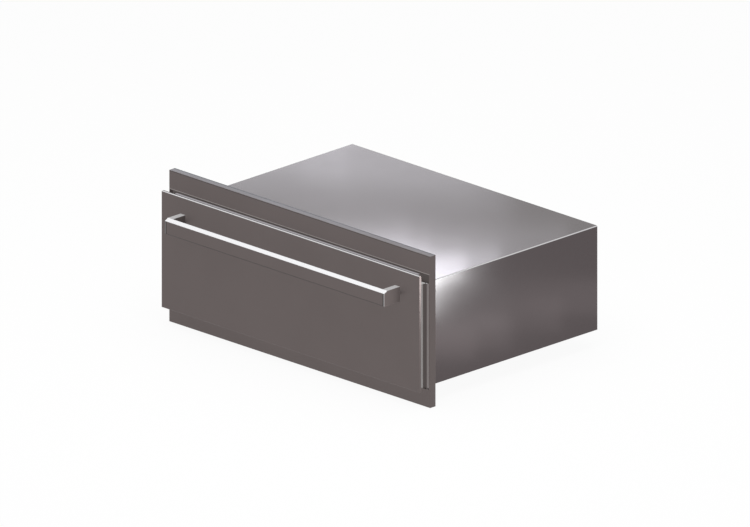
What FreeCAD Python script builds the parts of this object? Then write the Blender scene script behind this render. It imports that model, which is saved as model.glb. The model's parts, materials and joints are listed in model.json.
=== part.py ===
"""Built-in warming drawer: flanged casing, insulated chamber, drawer on ball-bearing slides.

Millimetres, +X to the viewer's right, +Y to the back, +Z up.
The origin is the centre of the casing's underside.
"""
import FreeCAD, Part
import Sketcher
import math
import os

from FreeCAD import Placement, Rotation, Vector

# Driving dimensions, in mm (angles in degrees, counts as plain numbers).
SIZES = {
    "casing_wide": 718, "casing_tall": 228, "casing_deep": 495, "sheet": 1.2, "wrap_bend": 2.4,
    "seam_gap": 0.3,
    "base_flange": 25, "rear_flange": 14, "rear_relief": 27, "corner_relief": 0.8,
    "vent_low": 150, "vent_top": 190, "vent_wide": 6, "vent_pitch": 12, "vent_count": 6,
    "frame_wide": 762, "frame_thick": 17, "frame_above": 65, "frame_below": 39,
    "frame_sheet": 2, "frame_edge": 1.6, "frame_lip": 14, "lip_sheet": 1.5,
    "window_wide": 758, "window_rise": 24.6, "recess_deep": 9, "recess_sheet": 1, "cove": 6.5,
    "gutter_wide": 20, "header_hole": 5, "header_hole_rise": 9, "header_hole_pitch": 220,
    "chamber_wide": 674, "chamber_floor": 14, "chamber_ceiling": 206, "chamber_tail": 20, "liner": 1,
    "slab_gap": 0.4, "rear_slab_end": 250, "loom_lane": 270, "loom_at": 322, "loom_bend": 9,
    "control_low": 176, "control_back": 14, "control_sheet": 1.2, "control_deep": 62,
    "control_left": 150, "control_right": 330, "control_axis": 191,
    "knob_at": 290, "knob_wide": 24, "knob_tall": 10.5, "shaft_wide": 6, "shaft_bore": 6.1,
    "rocker_at": 190, "rocker_wide": 14, "rocker_tall": 20, "rocker_rise": 4, "rocker_tilt": 7,
    "lamp_at": 235, "lamp_wide": 9,
    "element_wide": 8, "element_rise": 26, "element_bend": 30, "element_pitch": 110,
    "element_front": 70, "element_back": 430, "guard_rise": 37, "guard_inset": 12,
    "slot_long": 46, "slot_wide": 7,
    "panel_wide": 753, "panel_tall": 255, "panel_thick": 6, "panel_stand": 20.5, "panel_sheet": 1.5,
    "panel_edge": 1.2, "backing": 1, "inner_wide": 710, "inner_low": 3, "inner_top": 249.6,
    "inner_gap": 3, "inner_sheet": 1,
    "gasket_wide": 8, "gasket_gap": 0.3, "gasket_side": 347.5, "gasket_low": 7.5, "gasket_top": 217,
    "gasket_bend": 8,
    "handle_wide": 641, "handle_tall": 33, "handle_low": 186.1, "handle_reach": 46, "handle_thick": 9.5,
    "leg_wide": 14, "crown_drop": 4.6, "crown_deep": 9, "handle_edge": 1.5,
    "handle_screw": 6, "screw_deep": 26,
    "screw_head": 12, "screw_head_tall": 3,
    "slide_gap": 3, "slide_long": 450, "slide_front": 8, "slide_axis": 100, "slide_thick": 12.7,
    "outer_half": 22.85, "middle_half": 17.55, "inner_half": 12.35, "race_sheet": 1.1, "ball": 3.5,
    "cage_front": 125, "cage_long": 215, "cage_balls": 8,
    "rail_low": 60, "rail_top": 166, "rail_sheet": 1.2, "rail_ledge": 14, "rail_back": 484,
    "pan_half": 304, "pan_front": 30, "pan_back": 470, "pan_low": 48, "pan_sheet": 0.9, "pan_rim": 13,
    "pan_bend": 32, "pan_heel": 10,
    "rack_wire": 4, "rack_frame": 6, "rack_rise": 10, "rack_wires": 23,
    "bracket_half": 28, "ball_line": 7.6, "cage_margin": 6,
    "can_half": 18, "can_deep": 32, "cover_notch": 8, "bezel_rim": 3, "shell_deep": 18,
    "tab_long": 8, "tab_pitch": 7,
    "bulb_at": 60, "bulb_radius": 3, "bulb_long": 70, "bulb_drop": 4, "capillary_lane": -60,
    "capillary_bend": 12, "capillary_radius": 1, "cutout_at": 286, "cutout_radius": 9, "cutout_tall": 7,
    "clip_half": 8, "clip_deep": 10, "clip_waist": 6.6, "clip_front": -120, "clip_back": 80,
    "guard_front": 34, "guard_tail": 14, "slot_margin": 24, "slot_columns": 23, "slot_rows": 6,
    "terminal_low": 112, "terminal_tall": 18, "terminal_half": 32, "terminal_pitch": 22,
    "terminal_radius": 3.4,
    "rack_inset": 20, "foot_share": 0.8, "cross_rail_at": 12, "cross_rail_low": 60,
    "rear_screw_inset": 8, "rear_screw_low": 12, "rear_screw_high": 216, "rear_screw_share": 0.34,
    "tab_screw_inset": 8, "tab_screw_low": 76, "tab_screw_high": 150, "rail_screw_front": 40,
    "rail_screw_pitch": 200,
    "gland_at": 300, "gland_rise": 60, "gland_bore": 10, "gland_wide": 18, "gland_nut": 24,
    "screw_wide": 7, "screw_cap": 2.2, "loom_wide": 6,
}

doc = FreeCAD.newDocument("warming_drawer")
sheet = doc.addObject("Spreadsheet::Sheet", "Dims")
nodes = {}


class Formula:
    """A size worked out from the sheet: its value, and the expression that gives it."""

    def __init__(self, value, text):
        self.value = float(value)
        self.text = text

    def __add__(self, other):
        other = formula(other)
        return Formula(self.value + other.value, f"({self.text} + {other.text})")

    def __sub__(self, other):
        other = formula(other)
        return Formula(self.value - other.value, f"({self.text} - {other.text})")

    def __mul__(self, other):
        other = formula(other)
        return Formula(self.value * other.value, f"({self.text} * {other.text})")

    def __truediv__(self, other):
        other = formula(other)
        return Formula(self.value / other.value, f"({self.text} / {other.text})")

    def __neg__(self):
        return Formula(-self.value, f"(0 - {self.text})")

    def __rsub__(self, other):
        return formula(other) - self

    __radd__ = __add__
    __rmul__ = __mul__


def formula(thing):
    """Return a plain number as a Formula, and a Formula unchanged."""
    return thing if isinstance(thing, Formula) else Formula(thing, repr(thing))


class Sizes:
    """The sheet's aliases as attributes."""

    def __init__(self, cells):
        for row, (alias, number) in enumerate(cells.items(), start=1):
            sheet.set(f"A{row}", alias)
            sheet.set(f"B{row}", str(number))
            sheet.setAlias(f"B{row}", alias)
            setattr(self, alias, Formula(number, "Dims." + alias))
        doc.recompute()


S = Sizes(SIZES)

# Planes that many pieces share.
FACE = -(S.casing_deep / 2 + S.frame_thick)     # front face of the trim frame
SHOULDER = -(S.casing_deep / 2)                 # back of the trim frame
BACK = S.casing_deep / 2                        # back of the casing
CASING_FRONT = FACE + S.recess_deep + S.recess_sheet + 1
JAMB_BACK = FACE + S.sheet
CHAMBER_BACK = BACK - S.chamber_tail
CHAMBER_SIDE = S.chamber_wide / 2
WINDOW_TOP = S.casing_tall + S.window_rise
GUTTER_OUT = S.window_wide / 2
GUTTER_IN = S.window_wide / 2 - S.gutter_wide
PANEL_FRONT = FACE - S.panel_stand - S.panel_thick
PANEL_BACK = FACE - S.panel_stand
INNER_BACK = FACE - S.inner_gap
CONTROL_FACE = FACE + S.control_back
SLIDE_SIDE = CHAMBER_SIDE - S.slide_gap         # where the slides meet their brackets
RAIL_SIDE = SLIDE_SIDE - S.slide_thick          # outer face of the drawer's side rails


# ---------------------------------------------------------------- helpers

def bind(thing, prop, size):
    """Bind a property to a formula."""
    thing.setExpression(prop, formula(size).text)


def node(label, thing):
    """Register a finished sub-part under its label."""
    thing.Label = label
    nodes[label] = thing
    return thing


def box(name, x, y, z):
    """A Part::Box between (low, high) formulas on each axis."""
    made = doc.addObject("Part::Box", name)
    for side, axis, (low, high) in zip(("Length", "Width", "Height"), "xyz", (x, y, z)):
        bind(made, side, formula(high) - low)
        bind(made, ".Placement.Base." + axis, low)
    return made


def rod(name, axis, start, radius, length):
    """A Part::Cylinder from a start point, along +X, +Y or +Z."""
    made = doc.addObject("Part::Cylinder", name)
    turns = {"X": Rotation(Vector(0, 1, 0), 90), "Y": Rotation(Vector(1, 0, 0), -90), "Z": Rotation()}
    made.Placement = Placement(Vector(), turns[axis])
    bind(made, "Radius", radius)
    bind(made, "Height", length)
    for letter, place in zip("xyz", start):
        bind(made, ".Placement.Base." + letter, place)
    return made


def ball(name, centre, radius):
    """A Part::Sphere at a centre."""
    made = doc.addObject("Part::Sphere", name)
    bind(made, "Radius", radius)
    for letter, place in zip("xyz", centre):
        bind(made, ".Placement.Base." + letter, place)
    return made


def fuse(name, *shapes):
    made = doc.addObject("Part::MultiFuse", name)
    made.Shapes = list(shapes)
    return made


def group(name, *shapes):
    """Separate solids that count as one object."""
    made = doc.addObject("Part::Compound", name)
    made.Links = list(shapes)
    return made


def cut(name, base, *tools):
    made = doc.addObject("Part::Cut", name)
    made.Base = base
    made.Tool = tools[0] if len(tools) == 1 else group(name + "_tools", *tools)
    return made


def mirrored(low, high, side):
    """The (low, high) pair on the right side, or its mirror image on the left."""
    return (formula(low), formula(high)) if side > 0 else (-formula(high), -formula(low))


def new_body(name):
    return doc.addObject("PartDesign::Body", name)


def new_sketch(body, name, role, offset=0):
    """A sketch on one of the body's origin planes, moved along the plane's normal."""
    sketch = body.newObject("Sketcher::SketchObject", name)
    plane = next(item for item in body.Origin.OriginFeatures if item.Role == role)
    sketch.AttachmentSupport = [(plane, "")]
    sketch.MapMode = "FlatFace"
    bind(sketch, ".AttachmentOffset.Base.z", offset)
    return sketch


def pin_point(sketch, element, end, x, y):
    """Hold one end of an element at (x, y) formulas."""
    for kind, size in (("DistanceX", x), ("DistanceY", y)):
        size = formula(size)
        index = sketch.addConstraint(Sketcher.Constraint(kind, -1, 1, element, end, size.value))
        sketch.setExpression(f"Constraints[{index}]", size.text)


def arc_middle(start, end, radius):
    """Middle of the short arc between two points: its centre is to the left for a positive radius."""
    chord = end - start
    left = Vector(-chord.y, chord.x, 0).normalize()
    drop = math.sqrt(radius ** 2 - chord.Length ** 2 / 4)
    return (start + end) / 2 - left * math.copysign(abs(radius) - drop, radius)


def outline(sketch, points):
    """A closed outline. A point is (x, y), or (x, y, radius) where a signed arc ends there."""
    first = sketch.GeometryCount
    count = len(points)
    flat = [Vector(formula(p[0]).value, formula(p[1]).value, 0) for p in points]
    for index in range(count):
        start, end = flat[index - 1], flat[index]
        if len(points[index]) == 3:
            middle = arc_middle(start, end, formula(points[index][2]).value)
            sketch.addGeometry(Part.Arc(start, middle, end), False)
        else:
            sketch.addGeometry(Part.LineSegment(start, end), False)
    for index in range(count):
        element = first + index
        following = first + (index + 1) % count
        joint = 2 if ends_forward(sketch, element, flat[index]) else 1
        next_start = 1 if ends_forward(sketch, following, flat[(index + 1) % count]) else 2
        sketch.addConstraint(Sketcher.Constraint("Coincident", element, joint, following, next_start))
        pin_point(sketch, element, joint, points[index][0], points[index][1])
        if len(points[index]) == 3:
            radius = formula(points[index][2])
            held = sketch.addConstraint(Sketcher.Constraint("Radius", element, abs(radius.value)))
            sketch.setExpression(f"Constraints[{held}]", f"abs({radius.text})")
    return sketch


def ends_forward(sketch, element, end):
    """Whether an element's second end lies at the given point."""
    return sketch.getPoint(element, 2).distanceToPoint(end) < 1e-4


def rectangle(sketch, x, y):
    """A closed rectangle between (low, high) formulas."""
    (left, right), (low, high) = x, y
    return outline(sketch, [(left, low), (right, low), (right, high), (left, high)])


def circle(sketch, x, y, radius):
    """A circle at (x, y) formulas."""
    centre = Vector(formula(x).value, formula(y).value, 0)
    index = sketch.addGeometry(Part.Circle(centre, Vector(0, 0, 1), formula(radius).value), False)
    pin_point(sketch, index, 3, x, y)
    hold = sketch.addConstraint(Sketcher.Constraint("Radius", index, formula(radius).value))
    sketch.setExpression(f"Constraints[{hold}]", formula(radius).text)
    return index


def pad(body, name, sketch, length, reverse=False):
    made = body.newObject("PartDesign::Pad", name)
    made.Profile = sketch
    made.Reversed = reverse
    bind(made, "Length", length)
    doc.recompute()
    return made


def pocket(body, name, sketch, length, reverse=False):
    """A pocket that must take material away."""
    before = body.Shape.Volume
    made = body.newObject("PartDesign::Pocket", name)
    made.Profile = sketch
    made.Reversed = reverse
    bind(made, "Length", length)
    doc.recompute()
    if body.Shape.Volume > before - 1e-3:
        raise RuntimeError(f"{name} cuts nothing")
    return made


def round_edges(body, name, base, radius, chosen):
    """Fillet the edges of a feature whose two ends pass the test."""
    names = [
        f"Edge{number}" for number, edge in enumerate(base.Shape.Edges, start=1)
        if chosen([vertex.Point for vertex in edge.Vertexes])
    ]
    made = body.newObject("PartDesign::Fillet", name)
    made.Base = (base, names)
    bind(made, "Radius", radius)
    doc.recompute()
    return made


def near(number, size):
    return abs(number - formula(size).value) < 1e-3


def bent_path(points, bends):
    """A wire of straight runs joined by tangent arcs of the given radii."""
    corners = [Vector(*(formula(c).value for c in point)) for point in points]
    edges, start = [], corners[0]
    for index in range(1, len(corners) - 1):
        corner, radius = corners[index], formula(bends).value
        into = (corner - corners[index - 1]).normalize()
        away = (corners[index + 1] - corner).normalize()
        half = into.getAngle(away) / 2
        setback = radius * math.tan(half)
        first, last = corner - into * setback, corner + away * setback
        middle = corner + (away - into).normalize() * (radius / math.cos(half) - radius)
        edges += [Part.LineSegment(start, first).toShape(), Part.Arc(first, middle, last).toShape()]
        start = last
    edges.append(Part.LineSegment(start, corners[-1]).toShape())
    return Part.Wire(edges)


def tube(name, points, bends, radius):
    """A round bar or wire swept along a bent path."""
    path = bent_path(points, bends)
    spine = doc.addObject("Part::Feature", name + "_path")
    spine.Shape = path
    start = path.Edges[0].firstVertex().Point
    along = path.Edges[0].tangentAt(path.Edges[0].FirstParameter)
    ring = doc.addObject("Part::Circle", name + "_ring")
    ring.Placement = Placement(start, Rotation(Vector(0, 0, 1), along))
    bind(ring, "Radius", radius)
    made = doc.addObject("Part::Sweep", name)
    made.Sections = [ring]
    made.Spine = (spine, [f"Edge{number}" for number in range(1, len(path.Edges) + 1)])
    made.Solid = True
    made.Frenet = False
    return made


# ---------------------------------------------------------------- frame and casing

def make_trim_frame():
    """Flange: a folded pan with a window, open at the back between two rear lips."""
    body = new_body("trim_frame")
    half = S.frame_wide / 2
    low, high = -S.frame_below, S.casing_tall + S.frame_above
    slab = new_sketch(body, "frame_outline", "XZ_Plane", -FACE)
    rectangle(slab, (-half, half), (low, high))
    rectangle(slab, (-GUTTER_OUT, GUTTER_OUT), (0, WINDOW_TOP))
    solid = pad(body, "frame_slab", slab, S.frame_thick, reverse=True)

    def outer_front(points):
        return all(near(p.y, FACE) and abs(p.x) > GUTTER_OUT.value + 1 for p in points)

    round_edges(body, "frame_rounding", solid, S.frame_edge, outer_front)
    wall, lip = S.frame_sheet, S.frame_lip
    bands = {"top": (WINDOW_TOP + wall, high - wall, 0, lip), "bottom": (low + wall, -wall, lip, 0)}
    for name, (under, over, lip_under, lip_over) in bands.items():
        mouth = new_sketch(body, f"frame_{name}_mouth_outline", "XZ_Plane", -SHOULDER)
        rectangle(mouth, (-half + lip, half - lip), (under + lip_under, over - lip_over))
        pocket(body, f"frame_{name}_mouth", mouth, S.lip_sheet + 1, reverse=True)
        hollow = new_sketch(body, f"frame_{name}_hollow_outline", "XZ_Plane", -(SHOULDER - S.lip_sheet))
        rectangle(hollow, (-half + wall, half - wall), (under, over))
        pocket(body, f"frame_{name}_hollow", hollow, S.frame_thick - S.lip_sheet - wall, reverse=True)
    node("trim_frame", body)


def make_header_cove():
    """Sunk strip across the window's top: floor, quarter-round cove up to the frame, foot over the casing."""
    body = new_body("header_cove")
    profile = new_sketch(body, "cove_profile", "YZ_Plane", -(GUTTER_OUT - S.seam_gap / 3))
    floor, skin, radius = FACE + S.recess_deep, S.recess_sheet, S.cove
    foot = S.casing_tall + 0.1
    top = WINDOW_TOP - 0.1
    bend = top - skin - radius
    outline(profile, [
        (floor, foot), (floor, bend), (floor - radius, top - skin, radius), (FACE + 0.2, top - skin),
        (FACE + 0.2, top), (floor - radius, top), (floor + skin, bend, -(radius + skin)),
        (floor + skin, foot + skin), (SHOULDER - 0.2, foot + skin), (SHOULDER - 0.2, foot),
    ])
    pad(body, "cove_strip", profile, S.window_wide - S.seam_gap * 2 / 3)
    holes = new_sketch(body, "header_holes_outline", "XZ_Plane", -(floor - 1))
    for step in (-1.5, -0.5, 0.5, 1.5):
        circle(holes, S.header_hole_pitch * step, S.casing_tall + S.header_hole_rise, S.header_hole / 2)
    pocket(body, "header_holes", holes, skin + 2)
    node("header_cove", body)


def bow(chord, rise):
    """Radius of an arc over a chord with a given rise."""
    return (chord * chord / 4 + rise * rise) / (rise * 2)


def make_gutters():
    """A sheet channel down each side of the window, concave to the front."""
    near_edge, far_edge = GUTTER_IN + 0.6, GUTTER_OUT - 0.1
    front, hem = JAMB_BACK + 0.1, S.recess_sheet * 1.2
    inner_bow = bow(far_edge - near_edge, FACE + S.recess_deep - front)
    outer_bow = bow(far_edge - near_edge, FACE + S.recess_deep + S.recess_sheet - front - hem)
    for name, side in (("left", -1), ("right", 1)):
        body = new_body(f"{name}_gutter")
        profile = new_sketch(body, f"{name}_gutter_profile", "XY_Plane", 0.1)
        outline(profile, [
            (near_edge * side, front), (far_edge * side, front, inner_bow * -side),
            (far_edge * side, front + hem), (near_edge * side, front + hem, outer_bow * side),
        ])
        pad(body, f"{name}_gutter_strip", profile, S.casing_tall - 0.2)
        node(f"{name}_gutter", body)


def make_casing_wrap():
    """Top and both sides of the casing, folded from one sheet."""
    body = new_body("casing_wrap")
    half, top, skin, bend = S.casing_wide / 2, S.casing_tall, S.sheet, S.wrap_bend
    inner = bend - skin
    profile = new_sketch(body, "wrap_profile", "XZ_Plane", -CASING_FRONT)
    outline(profile, [
        (half, 0), (half, top - bend), (half - bend, top, bend), (bend - half, top),
        (-half, top - bend, bend), (-half, 0), (skin - half, 0), (skin - half, top - bend),
        (bend - half, top - skin, -inner), (half - bend, top - skin), (half - skin, top - bend, -inner),
        (half - skin, 0),
    ])
    pad(body, "wrap_sheet", profile, BACK - CASING_FRONT, reverse=True)
    node("casing_wrap", body)


def make_base_pan():
    """Bottom of the casing: a tray with side flanges turned up inside the wrap."""
    half = S.casing_wide / 2 - S.sheet - S.seam_gap / 3
    tray = box("base_outer", (-half, half), (SHOULDER, BACK - S.sheet * 2), (0, S.base_flange))
    room = box("base_inner", (-half + S.sheet, half - S.sheet), (SHOULDER - 1, BACK),
               (S.sheet, S.base_flange + 1))
    node("base_pan", cut("base", tray, room))


def make_rear_panel():
    """Back of the casing: a plate with flanges turned forward, a hole for the gland and vent slots."""
    half = S.casing_wide / 2 - S.sheet - S.seam_gap / 3
    top = S.casing_tall - S.sheet - S.seam_gap / 3
    before = BACK - S.rear_flange - 1
    outer = box("rear_outer", (-half, half), (BACK - S.rear_flange, BACK), (S.sheet + 0.1, top))
    inner = box("rear_inner", (-half + S.sheet, half - S.sheet), (before, BACK - S.sheet),
                (S.sheet, top - S.sheet))
    gap = box("rear_flange_relief", (-half - 1, half + 1), (before, BACK - S.sheet), (0, S.rear_relief))
    notches = [
        box(f"rear_corner_{n}", mirrored(half - S.corner_relief, half + 1, side), (before, BACK + 1),
            (top - S.corner_relief, top + 1))
        for n, side in enumerate((-1, 1))
    ]
    hole = rod("rear_gland_hole", "Y", (S.gland_at, before, S.gland_rise), S.gland_wide / 2,
               S.rear_flange + 2)
    last = S.gland_at - S.vent_wide * 5 - 4
    slots = [
        box(f"rear_slot_{n}", (last - S.vent_pitch * n, last - S.vent_pitch * n + S.vent_wide),
            (BACK - 3, BACK + 1), (S.vent_low, S.vent_top))
        for n in range(int(S.vent_count.value))
    ]
    node("rear_panel", cut("rear", outer, inner, gap, hole, *notches, *slots))


def make_front_jamb():
    """Face plate round the chamber's mouth, where the drawer's gasket seats."""
    half = GUTTER_IN + 0.5
    plate = box("jamb_plate", (-half, half), (FACE, JAMB_BACK), (0.1, S.casing_tall))
    side = CHAMBER_SIDE
    mouth = box("jamb_mouth", (-side, side), (FACE - 1, JAMB_BACK + 1), (S.chamber_floor, S.chamber_ceiling))
    hem = box("jamb_hem", (-half, half), (JAMB_BACK, FACE + S.recess_deep - 0.1),
              (S.casing_tall - 1, S.casing_tall))
    node("front_jamb", cut("jamb", fuse("jamb_sheet", plate, hem), mouth))


def make_chamber_liner():
    """Inner box of the chamber, open at the front, with holes for the element's ends and the loom."""
    side, skin = CHAMBER_SIDE, S.liner
    front = JAMB_BACK + 0.1
    outer = box("liner_outer", (-side - skin, side + skin), (front, CHAMBER_BACK + skin),
                (S.chamber_floor - skin, S.chamber_ceiling + skin))
    inner = box("liner_inner", (-side, side), (front - 1, CHAMBER_BACK),
                (S.chamber_floor, S.chamber_ceiling))
    ends = [
        rod(f"liner_end_hole_{n}", "Y", (at, CHAMBER_BACK - 1, S.element_rise), S.element_wide / 2 + 3, 5)
        for n, at in enumerate(element_ends())
    ]
    loom = rod("liner_loom_hole", "Z", (S.loom_at, FACE + 45, S.chamber_ceiling - 1), 5, 4)
    node("chamber_liner", cut("liner_box", outer, inner, loom, *ends))


def make_insulation():
    """Fibre slabs between the liner and the casing."""
    gap, skin = S.slab_gap, S.liner
    half = S.casing_wide / 2 - S.sheet - gap
    side = CHAMBER_SIDE + skin + gap
    front = CASING_FRONT + 1
    tail = CHAMBER_BACK + skin
    roof = (S.chamber_ceiling + skin + gap, S.casing_tall - S.sheet - gap)
    node("insulation_top", box("slab_top", (-half, S.loom_lane), (front, tail), roof))
    for name, sign in (("left", -1), ("right", 1)):
        x = mirrored(side, half - S.sheet - gap, sign)
        z = (S.sheet + gap, S.chamber_ceiling + skin)
        node(f"insulation_{name}", box(f"slab_{name}", x, (front + 8, tail), z))
    slab = box("slab_rear", (-half + S.sheet * 2, S.rear_slab_end), (tail + gap, BACK - S.sheet - gap),
               (S.sheet + gap, S.casing_tall - S.sheet * 2 - gap))
    sleeve = rod("slab_rear_hole", "Y", (element_ends()[0], tail, S.element_rise), S.element_wide / 2 + 5, 30)
    node("insulation_rear", cut("slab_rear_bored", slab, sleeve))
    node("insulation_base", box(
        "slab_base", (-side + gap, side - gap), (front + 8, tail),
        (S.sheet + gap, S.chamber_floor - skin - gap)))


# ---------------------------------------------------------------- controls

def make_controls():
    """Control strip across the top of the chamber's mouth, its cover, and what it carries."""
    skin, low, high = S.control_sheet, S.control_low, S.chamber_ceiling - 0.2
    front, back = CONTROL_FACE, CONTROL_FACE + S.control_sheet
    side = CHAMBER_SIDE - 0.3
    plate = box("strip_plate", (-side, side), (front, back), (low, high))
    top = box("strip_top", (-side, side), (front, back + 14), (high - skin, high))
    foot = box("strip_foot", (-side, S.control_left - 1), (front, back + 10), (low, low + skin))
    knob_hole = rod("strip_knob_hole", "Y", (S.knob_at, front - 1, S.control_axis), S.shaft_wide / 2 + 1, 5)
    lamp_hole = rod("strip_lamp_hole", "Y", (S.lamp_at, front - 1, S.control_axis), S.lamp_wide / 2 + 0.1, 5)
    half_x, half_z = S.rocker_wide / 2 + 1.5, S.rocker_tall / 2 + 1.5
    rocker_hole = box("strip_rocker_hole", (S.rocker_at - half_x, S.rocker_at + half_x),
                      (front - 1, back + 1), (S.control_axis - half_z, S.control_axis + half_z))
    strip = fuse("strip_sheet", plate, top, foot)
    node("control_panel", cut("strip", strip, knob_hole, lamp_hole, rocker_hole))

    cover_back = CONTROL_FACE + S.control_deep
    left, right = S.control_left, S.control_right
    outer = box("cover_outer", (left, right), (back + 0.1, cover_back), (low, high - skin - 0.1))
    inner = box("cover_inner", (left + skin, right - skin), (back - 1, cover_back - skin),
                (low + skin, high + 1))
    notch = box("cover_notch", (S.knob_at - 3, S.knob_at + 3), (cover_back - 3, cover_back + 1),
                (high - S.cover_notch, high))
    node("control_cover", cut("cover", outer, inner, notch))

    can = box("thermostat_can", (S.knob_at - S.can_half, S.knob_at + S.can_half),
              (back + 0.1, back + S.can_deep), (low + 2, high - 3))
    stem = rod("thermostat_stem", "Y", (S.knob_at, front - 6, S.control_axis), S.shaft_wide / 2, 10)
    node("thermostat_body", fuse("thermostat", can, stem))
    make_knob()

    flange_x, flange_z = S.rocker_wide / 2 + S.bezel_rim, S.rocker_tall / 2 + S.bezel_rim - 0.4
    bezel = box("switch_bezel", (S.rocker_at - flange_x, S.rocker_at + flange_x), (front - 1.4, front - 0.05),
                (S.control_axis - flange_z, S.control_axis + flange_z))
    shell_x, shell_z = S.rocker_wide / 2 + 1.4, S.rocker_tall / 2 + 1.4
    shell = box("switch_shell", (S.rocker_at - shell_x, S.rocker_at + shell_x),
                (front - 1, front + S.shell_deep), (S.control_axis - shell_z, S.control_axis + shell_z))
    room_x, room_z = S.rocker_wide / 2 + 0.4, S.rocker_tall / 2 + 0.7
    room = box("switch_room", (S.rocker_at - room_x, S.rocker_at + room_x), (front - 3, front + 8),
               (S.control_axis - room_z, S.control_axis + room_z))
    tabs = [
        box(f"switch_tab_{n}", (S.rocker_at - 3, S.rocker_at + 3),
            (front + S.shell_deep - 1, front + S.shell_deep + S.tab_long),
            (S.control_axis + S.tab_pitch * step, S.control_axis + S.tab_pitch * step + 0.8))
        for n, step in enumerate((-1, 0, 1))
    ]
    node("switch_housing", cut("switch", fuse("switch_solid", bezel, shell, *tabs), room))
    make_rocker()

    dome = ball("lamp_dome", (S.lamp_at, front - 0.5, S.control_axis), S.lamp_wide / 2 - 0.5)
    barrel = rod("lamp_barrel", "Y", (S.lamp_at, front - 1, S.control_axis), S.lamp_wide / 2, 15)
    collar = rod("lamp_collar", "Y", (S.lamp_at, front - 1.2, S.control_axis), S.lamp_wide / 2 + 1.5, 1.1)
    node("pilot_lamp", fuse("lamp", dome, barrel, collar))

    seat, along = S.chamber_ceiling + S.liner, 20
    disc = rod("cutout_disc", "Z", (S.cutout_at, along, seat + 0.1), S.cutout_radius, S.cutout_tall)
    pins = [
        box(f"cutout_pin_{n}", (S.cutout_at + step - 1.5, S.cutout_at + step + 1.5),
            (along - 0.4, along + 0.4), (seat + S.cutout_tall - 1, seat + S.cutout_tall + 5))
        for n, step in enumerate((-4.5, 4.5))
    ]
    node("high_limit_cutout", fuse("cutout", disc, *pins))

    ceiling, lane, start = S.chamber_ceiling - S.bulb_drop, S.capillary_lane, -10
    bulb = rod("bulb_rod", "Y", (S.bulb_at, start, ceiling), S.bulb_radius, S.bulb_long)
    lead = tube("capillary", [
        (S.bulb_at, start + 1, ceiling), (S.bulb_at, lane, ceiling), (S.knob_at, lane, ceiling),
        (S.knob_at, CONTROL_FACE + S.control_deep - 17, ceiling),
    ], S.capillary_bend, S.capillary_radius)
    reach = S.bulb_radius + 0.5
    clips = [
        box(f"bulb_clip_{n}", (S.bulb_at - reach, S.bulb_at + reach), (at, at + 6),
            (ceiling, S.chamber_ceiling - 0.05))
        for n, at in enumerate((0, 40))
    ]
    node("sensor_bulb", fuse("sensor", bulb, lead, *clips))


def make_knob():
    """Round knob with a grip bar and a pointer groove, on the thermostat's stem."""
    body = new_body("thermostat_knob")
    front = CONTROL_FACE - 0.5 - S.knob_tall
    disc = new_sketch(body, "knob_outline", "XZ_Plane", -front)
    circle(disc, S.knob_at, S.control_axis, S.knob_wide / 2)
    solid = pad(body, "knob_disc", disc, S.knob_tall, reverse=True)
    round_edges(body, "knob_rounding", solid, 1, lambda points: all(near(p.y, front) for p in points))
    bore = new_sketch(body, "knob_bore_outline", "XZ_Plane", -(CONTROL_FACE + 1))
    circle(bore, S.knob_at, S.control_axis, S.shaft_bore / 2)
    pocket(body, "knob_bore", bore, 8, reverse=True)
    sides = new_sketch(body, "knob_grip_outline", "XZ_Plane", -(front - 1))
    for side in (-1, 1):
        left, right = mirrored(3.2, S.knob_wide, side)
        rectangle(sides, (S.knob_at + left, S.knob_at + right),
                  (S.control_axis - S.knob_wide, S.control_axis + S.knob_wide))
    pocket(body, "knob_grip", sides, 6)
    mark = new_sketch(body, "knob_mark_outline", "XZ_Plane", -(front - 1))
    rectangle(mark, (S.knob_at - 0.6, S.knob_at + 0.6), (S.control_axis + 5, S.control_axis + S.knob_wide))
    pocket(body, "knob_mark", mark, 1.8)
    node("thermostat_knob", body)


def make_rocker():
    """Two-faced rocker, stored tipped to its off side about its pivot."""
    half_tall, half_wide = S.rocker_tall.value / 2, S.rocker_wide.value / 2
    tip, dip = -(S.rocker_rise.value + 0.2), -(S.rocker_rise.value - 0.6)
    corners = [(-1.2, -half_tall), (-1.2, half_tall), (tip, half_tall), (dip, 0), (tip, -half_tall)]
    wire = Part.makePolygon([Vector(-half_wide, y, z) for y, z in corners + corners[:1]])
    cap = Part.Face(wire).extrude(Vector(half_wide * 2, 0, 0))
    hub = Part.makeCylinder(3, half_wide * 2, Vector(-half_wide, 0, 0), Vector(1, 0, 0))
    rocker = doc.addObject("Part::Feature", "rocker")
    rocker.Shape = cap.fuse(hub).removeSplitter()
    place = Vector(S.rocker_at.value, CONTROL_FACE.value + 1.5, S.control_axis.value)
    rocker.Placement = Placement(place, Rotation(Vector(1, 0, 0), S.rocker_tilt.value))
    node("power_rocker", rocker)


# ---------------------------------------------------------------- heating

def element_ends():
    """X of the element's two ends, which leave through the liner's back."""
    return [S.element_pitch * -2.5, S.element_pitch * 2.5]


def make_element():
    """Tubular element: six long runs joined by returns, both ends through the back wall."""
    front, back = FACE + S.element_front, FACE + S.element_back
    runs = [S.element_pitch * step for step in (-2.5, -1.5, -0.5, 0.5, 1.5, 2.5)]
    tail = CHAMBER_BACK + S.liner + 10
    points = [(runs[0], tail, S.element_rise)]
    for index, at in enumerate(runs):
        near_end, far_end = (back, front) if index % 2 == 0 else (front, back)
        if index > 0:
            points.append((at, near_end, S.element_rise))
        if index < len(runs) - 1:
            points.append((at, far_end, S.element_rise))
    points.append((runs[-1], tail, S.element_rise))
    node("heating_element", tube("element", points, S.element_bend, S.element_wide / 2))


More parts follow.
